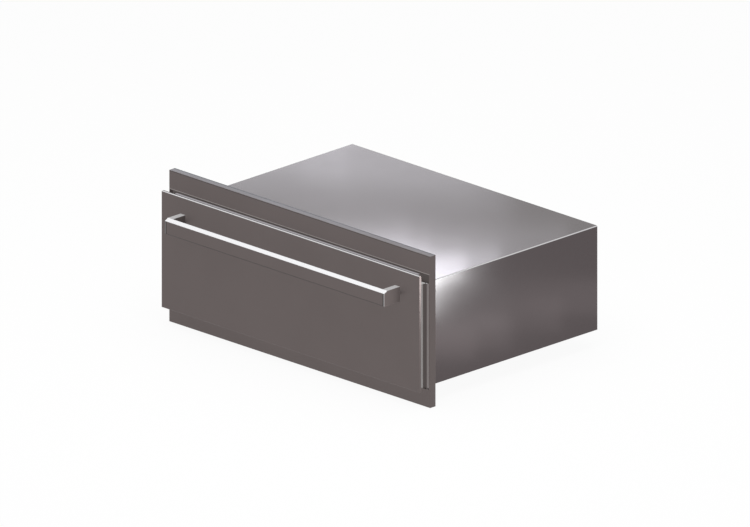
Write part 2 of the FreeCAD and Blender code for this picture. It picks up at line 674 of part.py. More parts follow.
def make_element_fittings():
    """Ceramic bushings in the back wall, clips on the floor, and the guard plate over the element."""
    bushings = []
    for n, at in enumerate(element_ends()):
        start = (at, CHAMBER_BACK - 6, S.element_rise)
        sleeve = rod(f"bushing_sleeve_{n}", "Y", start, S.element_wide / 2 + 2.8, 13)
        flange = rod(f"bushing_flange_{n}", "Y", start, S.element_wide / 2 + 5, 5.8)
        bore = rod(f"bushing_bore_{n}", "Y", (at, CHAMBER_BACK - 8, S.element_rise),
                   S.element_wide / 2 + 0.15, 30)
        bushings.append(cut(f"bushing_{n}", fuse(f"bushing_solid_{n}", sleeve, flange), bore))
    node("element_bushings", group("bushings", *bushings))

    clips = []
    reach = S.element_wide / 2 + 0.2
    for row, along in enumerate((S.clip_front, S.clip_back)):
        for n, step in enumerate((-2.5, -1.5, -0.5, 0.5, 1.5, 2.5)):
            at = S.element_pitch * step
            post = box(f"clip_post_{row}_{n}", (at - S.clip_half, at + S.clip_half),
                       (along, along + S.clip_deep), (S.chamber_floor, S.element_rise + reach + 1))
            bore = rod(f"clip_bore_{row}_{n}", "Y", (at, along - 1, S.element_rise), reach, S.clip_deep + 2)
            waist = box(f"clip_waist_{row}_{n}", (at - S.clip_waist, at + S.clip_waist),
                        (along - 1, along + S.clip_deep + 1),
                        (S.chamber_floor + 1.2, S.element_rise - 0.1))
            clips.append(cut(f"clip_{row}_{n}", post, bore, waist))
    node("element_clips", group("clips", *clips))
    make_guard()


def make_guard():
    """Slotted plate over the element, on two turned-down feet."""
    body = new_body("element_guard")
    half = CHAMBER_SIDE - S.guard_inset
    front, back = FACE + S.guard_front, CHAMBER_BACK - S.guard_tail
    rise = S.guard_rise
    profile = new_sketch(body, "guard_profile", "XZ_Plane", -front)
    skin = S.liner
    outline(profile, [
        (-half, S.chamber_floor), (-half + skin, S.chamber_floor), (-half + skin, rise - skin),
        (half - skin, rise - skin), (half - skin, S.chamber_floor), (half, S.chamber_floor),
        (half, rise), (-half, rise),
    ])
    pad(body, "guard_plate", profile, back - front, reverse=True)
    slot = new_sketch(body, "guard_slot_outline", "XY_Plane", rise + 1)
    at, start = -half + S.slot_margin, front + S.slot_margin
    rectangle(slot, (at, at + S.slot_wide), (start, start + S.slot_long))
    first = pocket(body, "guard_slot", slot, 4)
    along = body.newObject("PartDesign::MultiTransform", "guard_slots")
    along.Originals = [first]
    across = doc.addObject("PartDesign::LinearPattern", "guard_slot_columns")
    across.Direction = (slot, ["H_Axis"])
    bind(across, "Occurrences", S.slot_columns)
    bind(across, "Length", half * 2 - S.slot_margin * 2 - S.slot_wide)
    deep = doc.addObject("PartDesign::LinearPattern", "guard_slot_rows")
    deep.Direction = (slot, ["V_Axis"])
    bind(deep, "Occurrences", S.slot_rows)
    bind(deep, "Length", back - front - S.slot_margin * 2 - S.slot_long)
    body.addObject(across)
    body.addObject(deep)
    along.Transformations = [across, deep]
    body.Tip = along
    doc.recompute()
    node("element_guard", body)


def make_supply():
    """Cable gland in the rear panel, terminal block, and the loom to the control cover."""
    barrel = rod("gland_barrel", "Y", (S.gland_at, BACK - 10, S.gland_rise), S.gland_wide / 2 - 0.1, 24)
    nut = rod("gland_nut", "Y", (S.gland_at, BACK + 0.1, S.gland_rise), S.gland_nut / 2, 8)
    ring = rod("gland_ring", "Y", (S.gland_at, BACK - S.sheet - 5, S.gland_rise), S.gland_nut / 2, 4.9)
    bore = rod("gland_bore_tool", "Y", (S.gland_at, BACK - 12, S.gland_rise), S.gland_bore / 2, 30)
    node("cable_gland", cut("gland", fuse("gland_solid", barrel, nut, ring), bore))

    low, high = S.terminal_low, S.terminal_low + S.terminal_tall
    block = box("terminal_base", (S.gland_at - S.terminal_half, S.gland_at + S.terminal_half),
                (CHAMBER_BACK + S.liner + 0.5, BACK - 3), (low, high))
    wells = [
        rod(f"terminal_well_{n}", "Z", (S.gland_at + S.terminal_pitch * step, CHAMBER_BACK + 10, high - 10),
            S.terminal_radius, 20)
        for n, step in enumerate((-1, 0, 1))
    ]
    node("terminal_block", cut("terminal", block, *wells))

    lane, roof = S.loom_at, S.chamber_ceiling + S.liner + 10
    rear, front = CHAMBER_BACK + 10, FACE + 45
    node("wiring_loom", tube("loom", [
        (lane, rear, high + 0.2), (lane, rear, roof), (lane, front, roof),
        (lane, front, S.chamber_ceiling - 14),
    ], S.loom_bend, S.loom_wide / 2))


# ---------------------------------------------------------------- slides

def channel(name, label, side, web, lips, half):
    """A slide member: a C section as long as the slide, its web and lips given inwards from the bracket."""
    body = new_body(name)
    profile = new_sketch(body, name + "_profile", "XZ_Plane", -(FACE + S.slide_front))
    skin, low, high = S.race_sheet, S.slide_axis - half, S.slide_axis + half

    def across(depth):
        return (SLIDE_SIDE - depth) * side

    web_near, web_far = web
    open_end = lips
    outline(profile, [
        (across(web_near), low), (across(open_end), low), (across(open_end), low + skin),
        (across(web_far), low + skin), (across(web_far), high - skin), (across(open_end), high - skin),
        (across(open_end), high), (across(web_near), high),
    ])
    pad(body, name + "_strip", profile, S.slide_long, reverse=True)
    node(label, body)


def ball_cage(name, side, web, rim, half):
    """A cage: a strip that holds a row of balls above and below, tied by a thin web."""
    front = FACE + S.cage_front
    x_web = mirrored(SLIDE_SIDE - web - 0.8, SLIDE_SIDE - web, side)
    x_strip = mirrored(SLIDE_SIDE - rim, SLIDE_SIDE - web, side)
    pieces = [box(name + "_web", x_web, (front, front + S.cage_long),
                  (S.slide_axis - half, S.slide_axis + half))]
    centre = (SLIDE_SIDE - S.ball_line) * side
    pitch = (S.cage_long - S.cage_margin * 2) / (S.cage_balls - 1)
    for row, sign in (("low", -1), ("high", 1)):
        level = S.slide_axis + half * sign
        pieces.append(box(f"{name}_{row}_strip", x_strip, (front, front + S.cage_long),
                          (level - 0.5, level + 0.5)))
        for n in range(int(S.cage_balls.value)):
            at = front + S.cage_margin + pitch * n
            pieces.append(ball(f"{name}_{row}_ball_{n}", (centre, at, level), S.ball / 2))
    node(name, fuse(name + "_solid", *pieces))


def make_slides():
    """Two ball-bearing slides between the brackets and the drawer's side rails."""
    for name, side in (("left", -1), ("right", 1)):
        spacer = box(f"{name}_bracket_plate", mirrored(SLIDE_SIDE + 0.1, CHAMBER_SIDE, side),
                     (FACE + S.slide_front, FACE + S.slide_front + S.slide_long),
                     (S.slide_axis - S.bracket_half, S.slide_axis + S.bracket_half))
        node(f"{name}_slide_bracket", spacer)
        channel(f"{name}_cabinet", f"{name}_slide_cabinet_member", side, (0, S.race_sheet), 11.5,
                S.outer_half)
        channel(f"{name}_middle", f"{name}_slide_middle_member", side, (2.9, 4), 11.5, S.middle_half)
        channel(f"{name}_drawer", f"{name}_slide_drawer_member", side,
                (S.slide_thick, S.slide_thick - S.race_sheet), 5.8, S.inner_half)
        outer_line = (S.outer_half - S.race_sheet + S.middle_half) / 2
        inner_line = (S.middle_half - S.race_sheet + S.inner_half) / 2
        ball_cage(f"{name}_outer_ball_cage", side, formula(1.6), 10.5, outer_line)
        ball_cage(f"{name}_inner_ball_cage", side, formula(4.5), 10.5, inner_line)


# ---------------------------------------------------------------- drawer front

def make_front_panel():
    """Outer panel: a skin with its four edges returned, a core board and a backing sheet inside it."""
    half, low, high = S.panel_wide / 2, formula(0.2), S.panel_tall + 0.2
    body = new_body("front_panel")
    face = new_sketch(body, "panel_outline", "XZ_Plane", -PANEL_FRONT)
    rectangle(face, (-half, half), (low, high))
    slab = pad(body, "panel_slab", face, S.panel_thick, reverse=True)
    round_edges(body, "panel_rounding", slab, S.panel_edge,
                lambda points: all(near(p.y, PANEL_FRONT) for p in points))
    skin = S.panel_sheet
    room = new_sketch(body, "panel_room_outline", "XZ_Plane", -PANEL_BACK)
    rectangle(room, (-half + skin, half - skin), (low + skin, high - skin))
    pocket(body, "panel_room", room, S.panel_thick - skin, reverse=True)
    holes = new_sketch(body, "panel_holes_outline", "XZ_Plane", -(PANEL_FRONT - 1))
    for side in (-1, 1):
        circle(holes, handle_leg() * side, handle_axis(), S.handle_screw / 2 + 0.1)
    pocket(body, "panel_holes", holes, skin + 2)
    node("front_panel", body)

    inset = skin + 0.1
    x, z = (-half + inset, half - inset), (low + inset, high - inset)
    board = box("core_board", x, (PANEL_FRONT + skin + 0.05, PANEL_BACK - S.backing - 0.05), z)
    wells = [
        rod(f"core_well_{n}", "Y", (handle_leg() * side, PANEL_FRONT, handle_axis()),
            S.screw_head / 2 + 0.4, 10)
        for n, side in enumerate((-1, 1))
    ]
    node("panel_core", cut("core", board, *wells))
    node("panel_backing", box("backing_sheet", x, (PANEL_BACK - S.backing, PANEL_BACK), z))


def make_inner_front():
    """Inner front: a pan behind the panel, filled with fibre, with the gasket on its back."""
    half, skin = S.inner_wide / 2, S.inner_sheet
    front = PANEL_BACK + 0.1
    outer = box("inner_outer", (-half, half), (front, INNER_BACK), (S.inner_low, S.inner_top))
    room = box("inner_room", (-half + skin, half - skin), (front - 1, INNER_BACK - skin),
               (S.inner_low + skin, S.inner_top - skin))
    node("inner_front", cut("inner_pan", outer, room))
    gap = skin + 0.2
    node("front_insulation", box(
        "front_slab", (-half + gap, half - gap), (front + 0.1, INNER_BACK - gap),
        (S.inner_low + gap, S.inner_top - gap)))


def make_gasket():
    """Bulb seal round the chamber's mouth, flattened where it meets the inner front."""
    half = S.gasket_wide / 2
    front, back = INNER_BACK + 0.02, FACE - S.gasket_gap
    outer_x, outer_low, outer_high = S.gasket_side + half, S.gasket_low - half, S.gasket_top + half
    inner_x, inner_low, inner_high = S.gasket_side - half, S.gasket_low + half, S.gasket_top - half
    body = new_body("door_gasket")
    ring = new_sketch(body, "gasket_outline", "XZ_Plane", -front)
    rectangle(ring, (-outer_x, outer_x), (outer_low, outer_high))
    rectangle(ring, (-inner_x, inner_x), (inner_low, inner_high))
    solid = pad(body, "gasket_ring", ring, back - front, reverse=True)
    corners = round_edges(body, "gasket_corners", solid, S.gasket_bend - 2,
                          lambda points: near(points[0].x, points[-1].x) and near(points[0].z, points[-1].z))
    round_edges(body, "gasket_bulb", corners, 1.2, lambda points: all(near(p.y, back) for p in points))
    node("door_gasket", body)


def handle_leg():
    """X of the handle's legs."""
    return S.handle_wide / 2 - S.leg_wide / 2


def handle_axis():
    """Height of the handle's middle."""
    return S.handle_low + S.handle_tall / 2


def make_handle():
    """Flat bar handle with two legs to the panel, its top sloped to the front."""
    body = new_body("handle")
    plan = new_sketch(body, "handle_plan", "XY_Plane", S.handle_low)
    half, inner = S.handle_wide / 2, S.handle_wide / 2 - S.leg_wide
    foot, front = PANEL_FRONT - 0.05, PANEL_FRONT - S.handle_reach
    back = front + S.handle_thick
    outline(plan, [
        (-half, front), (half, front), (half, foot), (inner, foot), (inner, back), (-inner, back),
        (-inner, foot), (-half, foot),
    ])
    solid = pad(body, "handle_bar", plan, S.handle_tall)

    def outer_edge(points):
        upright = all(near(abs(p.x), half) for p in points)
        level = all(near(p.z, S.handle_low) for p in points)
        return all(near(p.y, front) for p in points) and (upright or level)

    round_edges(body, "handle_rounding", solid, S.handle_edge, outer_edge)
    top, slope = S.handle_low + S.handle_tall, S.crown_drop / S.crown_deep
    crown = new_sketch(body, "crown_outline", "YZ_Plane", -half - 1)
    outline(crown, [
        (front - 1, top - S.crown_drop - slope), (front + S.crown_deep + 1, top + slope),
        (front - 1, top + slope),
    ])
    pocket(body, "handle_crown", crown, S.handle_wide + 2, reverse=True)
    holes = new_sketch(body, "handle_taps_outline", "XZ_Plane", -(PANEL_FRONT + 1))
    for side in (-1, 1):
        circle(holes, handle_leg() * side, handle_axis(), S.handle_screw / 2 + 0.1)
    pocket(body, "handle_taps", holes, S.screw_deep, reverse=True)
    node("handle", body)


def make_handle_screws():
    """Two flat-headed screws from inside the panel into the handle's legs."""
    screws = []
    seat = PANEL_FRONT + S.panel_sheet + 0.05
    for n, side in enumerate((-1, 1)):
        x, z = handle_leg() * side, handle_axis()
        head = rod(f"handle_screw_head_{n}", "Y", (x, seat, z), S.screw_head / 2, S.screw_head_tall - 0.1)
        stem = rod(f"handle_screw_stem_{n}", "Y", (x, seat - 22, z), S.handle_screw / 2, 22.5)
        slot = box(f"handle_screw_slot_{n}", (x - 0.8, x + 0.8), (seat + 1.6, seat + 5), (z - 4, z + 4))
        screws.append(cut(f"handle_screw_{n}", fuse(f"handle_screw_solid_{n}", head, stem), slot))
    node("handle_screws", group("handle_screw_pair", *screws))


# ---------------------------------------------------------------- drawer box

def make_rails():
    """Side rails with a ledge for the pan, joined by a front and a rear cross rail."""
    skin, low, top = S.rail_sheet, S.rail_low, S.rail_top
    front, back = INNER_BACK + 0.05, FACE + S.rail_back
    for name, side in (("left", -1), ("right", 1)):
        wall = box(f"{name}_rail_wall", mirrored(RAIL_SIDE - skin, RAIL_SIDE - 0.05, side), (front, back),
                   (low, top))
        ledge = box(f"{name}_rail_ledge", mirrored(RAIL_SIDE - S.rail_ledge, RAIL_SIDE - 0.05, side),
                    (front, back), (top - skin, top))
        hem = box(f"{name}_rail_hem", mirrored(RAIL_SIDE - 8, RAIL_SIDE - 0.05, side), (front, back),
                  (low, low + skin))
        tab = box(f"{name}_rail_tab", mirrored(RAIL_SIDE - S.rail_ledge, RAIL_SIDE - 0.05, side),
                  (front, front + skin), (low, top))
        node(f"{name}_side_rail", fuse(f"{name}_rail", wall, ledge, hem, tab))

    half = RAIL_SIDE - skin - 0.2
    ledge_half = RAIL_SIDE - S.rail_ledge - 0.2
    at = FACE + S.cross_rail_at
    web = box("front_rail_web", (-half, half), (at, at + skin), (low + S.cross_rail_low, top - skin - 0.2))
    lip = box("front_rail_lip", (-ledge_half, ledge_half), (at, FACE + S.pan_front - 2), (top - skin, top))
    neck = box("front_rail_neck", (-ledge_half, ledge_half), (at, at + skin), (top - skin * 2, top))
    node("front_cross_rail", fuse("front_rail", web, lip, neck))

    at = back - skin
    web = box("rear_rail_web", (-half, half), (at, back), (low + skin + 0.1, top - skin - 0.2))
    lip = box("rear_rail_lip", (-ledge_half, ledge_half), (FACE + S.pan_back + 2, back), (top - skin, top))
    neck = box("rear_rail_neck", (-ledge_half, ledge_half), (at, back), (top - skin * 2, top))
    node("rear_cross_rail", fuse("rear_rail", web, lip, neck))


def make_pan():
    """Lift-out warming pan: deep drawn, with rounded corners and a flat rim on the rails' ledges."""
    body = new_body("warming_pan")
    half, front, back = S.pan_half, FACE + S.pan_front, FACE + S.pan_back
    low, skin, rim = S.pan_low, S.pan_sheet, S.pan_rim
    top = S.rail_top + 0.05
    floor = new_sketch(body, "pan_outline", "XY_Plane", low)
    rectangle(floor, (-half, half), (front, back))
    block = pad(body, "pan_block", floor, top + skin - low)

    def upright(points):
        return near(points[0].x, points[-1].x) and near(points[0].y, points[-1].y)

    corners = round_edges(body, "pan_corners", block, S.pan_bend, upright)
    heel = round_edges(body, "pan_heel_rounding", corners, S.pan_heel,
                       lambda points: all(near(p.z, low) for p in points))
    mouth = [
        f"Face{number}" for number, face in enumerate(heel.Shape.Faces, start=1)
        if near(face.CenterOfMass.z, top + skin)
    ]
    wall = body.newObject("PartDesign::Thickness", "pan_wall")
    wall.Base = (heel, mouth)
    wall.Reversed = True
    bind(wall, "Value", skin)
    doc.recompute()
    brim = new_sketch(body, "pan_rim_outline", "XY_Plane", top)
    rectangle(brim, (-half - rim, half + rim), (front - rim, back + rim))
    inner = S.pan_bend - skin
    left, right, near_y, far_y = -half + skin, half - skin, front + skin, back - skin
    outline(brim, [
        (right - inner, near_y), (right, near_y + inner, inner), (right, far_y - inner),
        (right - inner, far_y, inner), (left + inner, far_y), (left, far_y - inner, inner),
        (left, near_y + inner), (left + inner, near_y, inner),
    ])
    pad(body, "pan_rim_plate", brim, skin)
    node("warming_pan", body)


def make_rack():
    """Wire rack that lies in the pan: a round-bar frame, cross wires and four feet."""
    radius, wire = S.rack_frame / 2, S.rack_wire / 2
    half = S.pan_half - S.rack_inset
    front, back = FACE + S.pan_front + S.rack_inset, FACE + S.pan_back - S.rack_inset
    level = S.pan_low + S.pan_sheet + S.rack_rise
    bars = [
        rod("rack_bar_front", "X", (-half, front, level), radius, half * 2),
        rod("rack_bar_back", "X", (-half, back, level), radius, half * 2),
        rod("rack_bar_left", "Y", (-half, front, level), radius, back - front),
        rod("rack_bar_right", "Y", (half, front, level), radius, back - front),
    ]
    for n, (x, y) in enumerate(((-half, front), (half, front), (half, back), (-half, back))):
        bars.append(ball(f"rack_corner_{n}", (x, y, level), radius))
        foot_x = x * S.foot_share
        bars.append(rod(f"rack_foot_{n}", "Z", (foot_x, y, S.pan_low + S.pan_sheet + 0.1), wire, S.rack_rise))
    wires = int(S.rack_wires.value)
    for n in range(wires):
        x = -half + half * 2 * (n + 1) / (wires + 1)
        bars.append(rod(f"rack_wire_{n}", "Y", (x, front, level + 1), wire, back - front))
    node("wire_rack", fuse("rack", *bars))


# ---------------------------------------------------------------- fasteners

def pan_head(name, axis, start, sign=1):
    """A small pan-headed screw seen from outside: a cap with a cross recess."""
    cap = rod(name + "_cap", axis, start, S.screw_wide / 2, S.screw_cap)
    x, y, z = start
    if axis == "Y":
        low, high = (y - 1, y + 1.2) if sign < 0 else (y + S.screw_cap - 1.2, y + S.screw_cap + 1)
        arms = [box(name + "_arm_a", (x - 2, x + 2), (low, high), (z - 0.5, z + 0.5)),
                box(name + "_arm_b", (x - 0.5, x + 0.5), (low, high), (z - 2, z + 2))]
    else:
        low, high = (x - 1, x + 1.2) if sign < 0 else (x + S.screw_cap - 1.2, x + S.screw_cap + 1)
        arms = [box(name + "_arm_a", (low, high), (y - 2, y + 2), (z - 0.5, z + 0.5)),
                box(name + "_arm_b", (low, high), (y - 0.5, y + 0.5), (z - 2, z + 2))]
    return cut(name, cap, *arms)


def make_screws():
    """Screw heads: rear panel, control strip, slides and drawer frame."""
    half = S.casing_wide / 2 - S.rear_screw_inset
    columns = (-half, -half * S.rear_screw_share, half * S.rear_screw_share, half)
    rear = [
        pan_head(f"rear_screw_{row}_{n}", "Y", (x, BACK + 0.05, z))
        for row, z in enumerate((S.rear_screw_low, S.rear_screw_high)) for n, x in enumerate(columns)
    ]
    node("rear_panel_screws", group("rear_screws", *rear))
    strip = [
        pan_head(f"strip_screw_{n}", "Y", (x, CONTROL_FACE - S.screw_cap - 0.05, S.control_axis), -1)
        for n, x in enumerate((-315, -160, 0, 130))
    ]
    node("control_panel_screws", group("strip_screws", *strip))
    tabs = [
        pan_head(f"tab_screw_{row}_{side + 1}", "Y",
                 ((RAIL_SIDE - S.tab_screw_inset) * side, INNER_BACK + S.rail_sheet + 0.1, z))
        for side in (-1, 1) for row, z in enumerate((S.tab_screw_low, S.tab_screw_high))
    ]
    node("drawer_front_screws", group("tab_screws", *tabs))
    rails = []
    seat = RAIL_SIDE - S.rail_sheet - 0.05
    for side in (-1, 1):
        start = seat - S.screw_cap if side > 0 else -seat
        for n in range(3):
            y = FACE + S.rail_screw_front + S.rail_screw_pitch * n
            rails.append(pan_head(f"rail_screw_{side + 1}_{n}", "X", (start, y, S.slide_axis), -side))
    node("slide_screws", group("rail_screws", *rails))


# ---------------------------------------------------------------- checks and output

def check_document():
    """Stop unless every object is up to date and every sub-part is a valid solid."""
    for item in doc.Objects:
        if "Invalid" in item.State or "Error" in item.State:
            raise RuntimeError(f"{item.Name} failed: {item.State}")
    for label, thing in nodes.items():
        shape = thing.Shape
        if shape.isNull() or not shape.isValid() or not shape.Solids:
            raise RuntimeError(f"{label} has no valid solid")


def export_nodes():
    """Write one STEP file for each sub-part."""
    os.makedirs("parts", exist_ok=True)
    for label, thing in nodes.items():
        thing.Shape.exportStep(f"parts/{label}.step")


for make in (
    make_trim_frame, make_header_cove, make_gutters, make_casing_wrap, make_base_pan, make_rear_panel,
    make_front_jamb, make_chamber_liner, make_insulation, make_controls, make_element,
    make_element_fittings, make_supply, make_slides, make_front_panel, make_inner_front, make_gasket,
    make_handle, make_handle_screws, make_rails, make_pan, make_rack, make_screws,
):
    make()
doc.recompute()
check_document()
export_nodes()
print(len(nodes), "sub-parts")
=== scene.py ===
"""Dresses the built-in warming drawer: finishes for its nodes, small repeated parts and a plain studio."""

import json
import math

import bmesh
import bpy
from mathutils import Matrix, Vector


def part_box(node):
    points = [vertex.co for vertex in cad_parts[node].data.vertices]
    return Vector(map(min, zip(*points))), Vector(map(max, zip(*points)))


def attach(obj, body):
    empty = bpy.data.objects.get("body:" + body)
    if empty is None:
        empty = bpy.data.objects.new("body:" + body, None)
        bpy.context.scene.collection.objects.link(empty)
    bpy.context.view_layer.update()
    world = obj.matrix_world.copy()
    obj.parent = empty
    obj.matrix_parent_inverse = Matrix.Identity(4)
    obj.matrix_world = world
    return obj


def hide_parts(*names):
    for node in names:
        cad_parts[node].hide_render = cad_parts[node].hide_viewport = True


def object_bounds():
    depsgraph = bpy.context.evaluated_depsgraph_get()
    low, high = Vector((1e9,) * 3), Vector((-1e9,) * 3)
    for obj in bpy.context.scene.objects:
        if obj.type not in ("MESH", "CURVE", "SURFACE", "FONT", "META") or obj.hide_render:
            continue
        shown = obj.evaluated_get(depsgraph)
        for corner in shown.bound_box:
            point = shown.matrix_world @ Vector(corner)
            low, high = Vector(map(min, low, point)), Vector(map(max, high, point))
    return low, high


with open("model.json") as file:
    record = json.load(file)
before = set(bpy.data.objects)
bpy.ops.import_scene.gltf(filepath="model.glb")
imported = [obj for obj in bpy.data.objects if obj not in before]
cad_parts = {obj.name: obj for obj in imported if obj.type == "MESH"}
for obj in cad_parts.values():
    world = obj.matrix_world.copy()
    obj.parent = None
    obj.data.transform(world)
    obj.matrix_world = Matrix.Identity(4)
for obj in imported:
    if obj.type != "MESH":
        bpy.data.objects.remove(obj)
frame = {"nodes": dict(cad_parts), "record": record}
CAD_BOX = [list(corner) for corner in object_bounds()]
NODE_SLOTS = {row["node"]: row["material_slot"] for row in frame["record"]["subparts"]}

bl_info = {
    "name": "Warming Drawer Dressing",
    "version": (1, 0, 0),
    "blender": (4, 5, 0),
    "location": "3D View > Sidebar > Warming Drawer",
    "description": "Finishes, fittings and studio for a built-in warming drawer",
    "category": "Object",
}


# ---- settings

def setting(kind, **limits):
    """A kind of setting, to be given its name, description and default."""
    def made(name, description, value):
        return kind(name=name, description=description, default=value, **limits)
    return made


colour_prop = setting(bpy.props.FloatVectorProperty, size=3, subtype="COLOR", min=0.0, max=1.0)
length_prop = setting(bpy.props.FloatProperty, unit="LENGTH", precision=5)
level_prop = setting(bpy.props.FloatProperty, min=0.0)
count_prop = setting(bpy.props.IntProperty, min=2)


class FinishSettings(bpy.types.PropertyGroup):
    """Colours of the sheet metal and of the fittings, and of the painted highlights and painted shade on the
    metal.
    """

    front: colour_prop("Front steel", "Brushed steel of the frame, panel and handle", (0.141, 0.118, 0.115))
    casing: colour_prop("Casing steel", "Satin steel of the outer wrap", (0.098, 0.083, 0.085))
    # Painted highlight: a lighter steel on the handle's crown and down its ends, and on the front of the
    # panel's rim, where the crown lamp also shines.
    crown: colour_prop("Polished crown", "Top and ends of the handle, rim of the panel", (0.50, 0.50, 0.51))
    recess: colour_prop("Recess steel", "Gutters beside the drawer front", (0.15, 0.13, 0.128))
    # Painted shade: a darker steel in the cove above the drawer and in the hollows of the gutters.
    cove: colour_prop("Cove steel", "Cove above the drawer, hollow of the gutters", (0.10, 0.085, 0.082))
    # Painted highlight: a light steel on the panel's top face and along the casing's bend.
    rim: colour_prop("Polished rim", "Top face of the panel, bend of the casing", (0.60, 0.59, 0.60))
    # Painted highlight: a light line on the frame's lip over the cove and a light stripe in each gutter.
    lip: colour_prop("Bright lip", "Edges of the frame's window and of the gutters", (0.34, 0.31, 0.305))
    # Painted shade: dark lines along the frame's top front and rear edges, behind the panel's rim over the
    # gap there, and on the handle.
    seam: colour_prop("Dark seam", "Fine lines of the frame, panel and handle", (0.045, 0.04, 0.04))
    # Painted light: a lighter steel on the upward faces of the inner front.
    ledge: colour_prop("Bent edges", "Top edge of the inner front", (0.27, 0.25, 0.275))
    stainless: colour_prop("Inner steel", "Steel seen when the drawer is open", (0.36, 0.35, 0.345))
    galvanised: colour_prop("Galvanised sheet", "Base pan, rear panel and brackets", (0.30, 0.305, 0.31))
    liner: colour_prop("Liner steel", "Sheet round the heated chamber", (0.27, 0.265, 0.265))
    zinc: colour_prop("Zinc plating", "Screws, clips and slide members", (0.42, 0.42, 0.43))
    cage: colour_prop("Ball cages", "Bright strip and balls of the slides", (0.50, 0.50, 0.51))
    sheath: colour_prop("Element sheath", "Heat-tinted tube of the element", (0.10, 0.088, 0.082))
    fibre: colour_prop("Insulation", "Mineral fibre batts", (0.62, 0.55, 0.36))
    board: colour_prop("Panel core", "Board inside the drawer front", (0.11, 0.095, 0.08))
    silicone: colour_prop("Gasket", "Silicone of the door seal", (0.14, 0.13, 0.125))
    black: colour_prop("Black plastic", "Housings behind the controls", (0.018, 0.018, 0.019))
    knob: colour_prop("Knob plastic", "Knob and rocker", (0.022, 0.022, 0.024))
    pointer: colour_prop("Pointer white", "Line on the knob", (0.78, 0.78, 0.76))
    lens: colour_prop("Lamp lens", "Clear red lens of the pilot lamp", (0.46, 0.03, 0.015))
    ceramic: colour_prop("Ceramic", "Glazed bushings of the element", (0.74, 0.70, 0.60))
    rubber: colour_prop("Cable rubber", "Wiring loom", (0.020, 0.020, 0.021))
    nylon: colour_prop("Nylon", "Cable gland", (0.026, 0.026, 0.028))
    print: colour_prop("Printed marks", "Ink of the dial and switch marks", (0.02, 0.02, 0.022))


class ScrewSettings(bpy.types.PropertyGroup):
    """Sizes of the pan-headed screws."""

    width: length_prop("Head width", "Across the screw's head", 0.0070)
    height: length_prop("Head height", "How far the head stands out", 0.0022)
    recess_length: length_prop("Recess length", "Along one arm of the cross", 0.0040)
    recess_width: length_prop("Recess width", "Across one arm of the cross", 0.0009)


class RackSettings(bpy.types.PropertyGroup):
    """Sizes of the wire rack."""

    wires: count_prop("Wires", "How many cross wires", 23)
    wire: length_prop("Wire", "Diameter of a cross wire", 0.0040)
    bar: length_prop("Bar", "Diameter of the frame's bar", 0.0060)
    corner: length_prop("Corner", "Bend radius of the frame's corners", 0.0140)


class DialSettings(bpy.types.PropertyGroup):
    """Sizes of the knob and of the printed marks round it."""

    marks: count_prop("Marks", "How many heat settings the dial has", 9)
    radius: length_prop("Mark radius", "From the knob's middle to the middle of a mark", 0.0136)
    numbers: length_prop("Number height", "Size of the printed numbers", 0.0034)
    film: length_prop("Ink", "Thickness of the printed film", 0.00006)
    skirt: length_prop("Skirt height", "Height of the knob's round skirt", 0.0043)
    grip: length_prop("Grip width", "Across the knob's grip bar", 0.0062)


class StudioSettings(bpy.types.PropertyGroup):
    """Light levels of the plain studio. A level of 1 shows as white."""

    surround: level_prop("Surround", "Level of the white surround as soft light", 0.65)
    overhead: level_prop("Overhead softbox", "Level of the wide lamp above", 2.4)
    front: level_prop("Front lamps", "Share of the lamps that draw the front's edges", 1.0)
    casing: level_prop("Casing lamps", "Share of the lamps that shade the casing", 1.0)


# ---- node trees

SOCKET_KINDS = {
    float: "NodeSocketFloat", int: "NodeSocketInt", tuple: "NodeSocketVector",
    type(None): "NodeSocketGeometry",
}


class Tree:
    """A node tree in the making."""

    def __init__(self, tree):
        self.tree = tree

    def feed(self, socket, value):
        """Joins or sets one input."""
        if isinstance(value, bpy.types.NodeSocket):
            self.tree.links.new(value, socket)
        else:
            socket.default_value = value

    def add(self, kind, settings=None, **sockets):
        """A node with its settings, and its inputs joined or set by name."""
        node = self.tree.nodes.new(kind)
        for label, value in (settings or {}).items():
            setattr(node, label, value)
        for label, value in sockets.items():
            self.feed(node.inputs[label.replace("_", " ")], value)
        return node

    def out(self, kind, settings=None, **sockets):
        """The first output of a new node."""
        return self.add(kind, settings, **sockets).outputs[0]

    def maths(self, operation, first, second):
        """One Math node's result."""
        node = self.add("ShaderNodeMath", {"operation": operation})
        self.feed(node.inputs[0], first)
        self.feed(node.inputs[1], second)
        return node.outputs[0]

    def times(self, first, second):
        """A product."""
        return self.maths("MULTIPLY", first, second)

    def vector(self, operation, *values, **sockets):
        """One Vector Math node's result."""
        node = self.add("ShaderNodeVectorMath", {"operation": operation}, **sockets)
        for socket, value in zip(node.inputs, values):
            self.feed(socket, value)
        return node.outputs["Value" if operation == "DOT_PRODUCT" else "Vector"]

    def ramp(self, value, kind="LINEAR", **ends):
        """Maps one range to another. Ends that aren't given are 0 and 1."""
        node = self.add("ShaderNodeMapRange", {"interpolation_type": kind}, Value=value, **ends)
        return node.outputs["Result"]

    def noise(self, vector, scale, detail, roughness=0.5):
        """A noise texture's value."""
        node = self.add("ShaderNodeTexNoise", Vector=vector, Scale=scale, Detail=detail, Roughness=roughness)
        return node.outputs["Fac"]

    def place(self):
        """The place on the object, in metres, in the row frame."""
        return self.add("ShaderNodeTexCoord").outputs["Object"]

    def normal(self):
        """The way that the surface faces."""
        return self.add("ShaderNodeNewGeometry").outputs["Normal"]


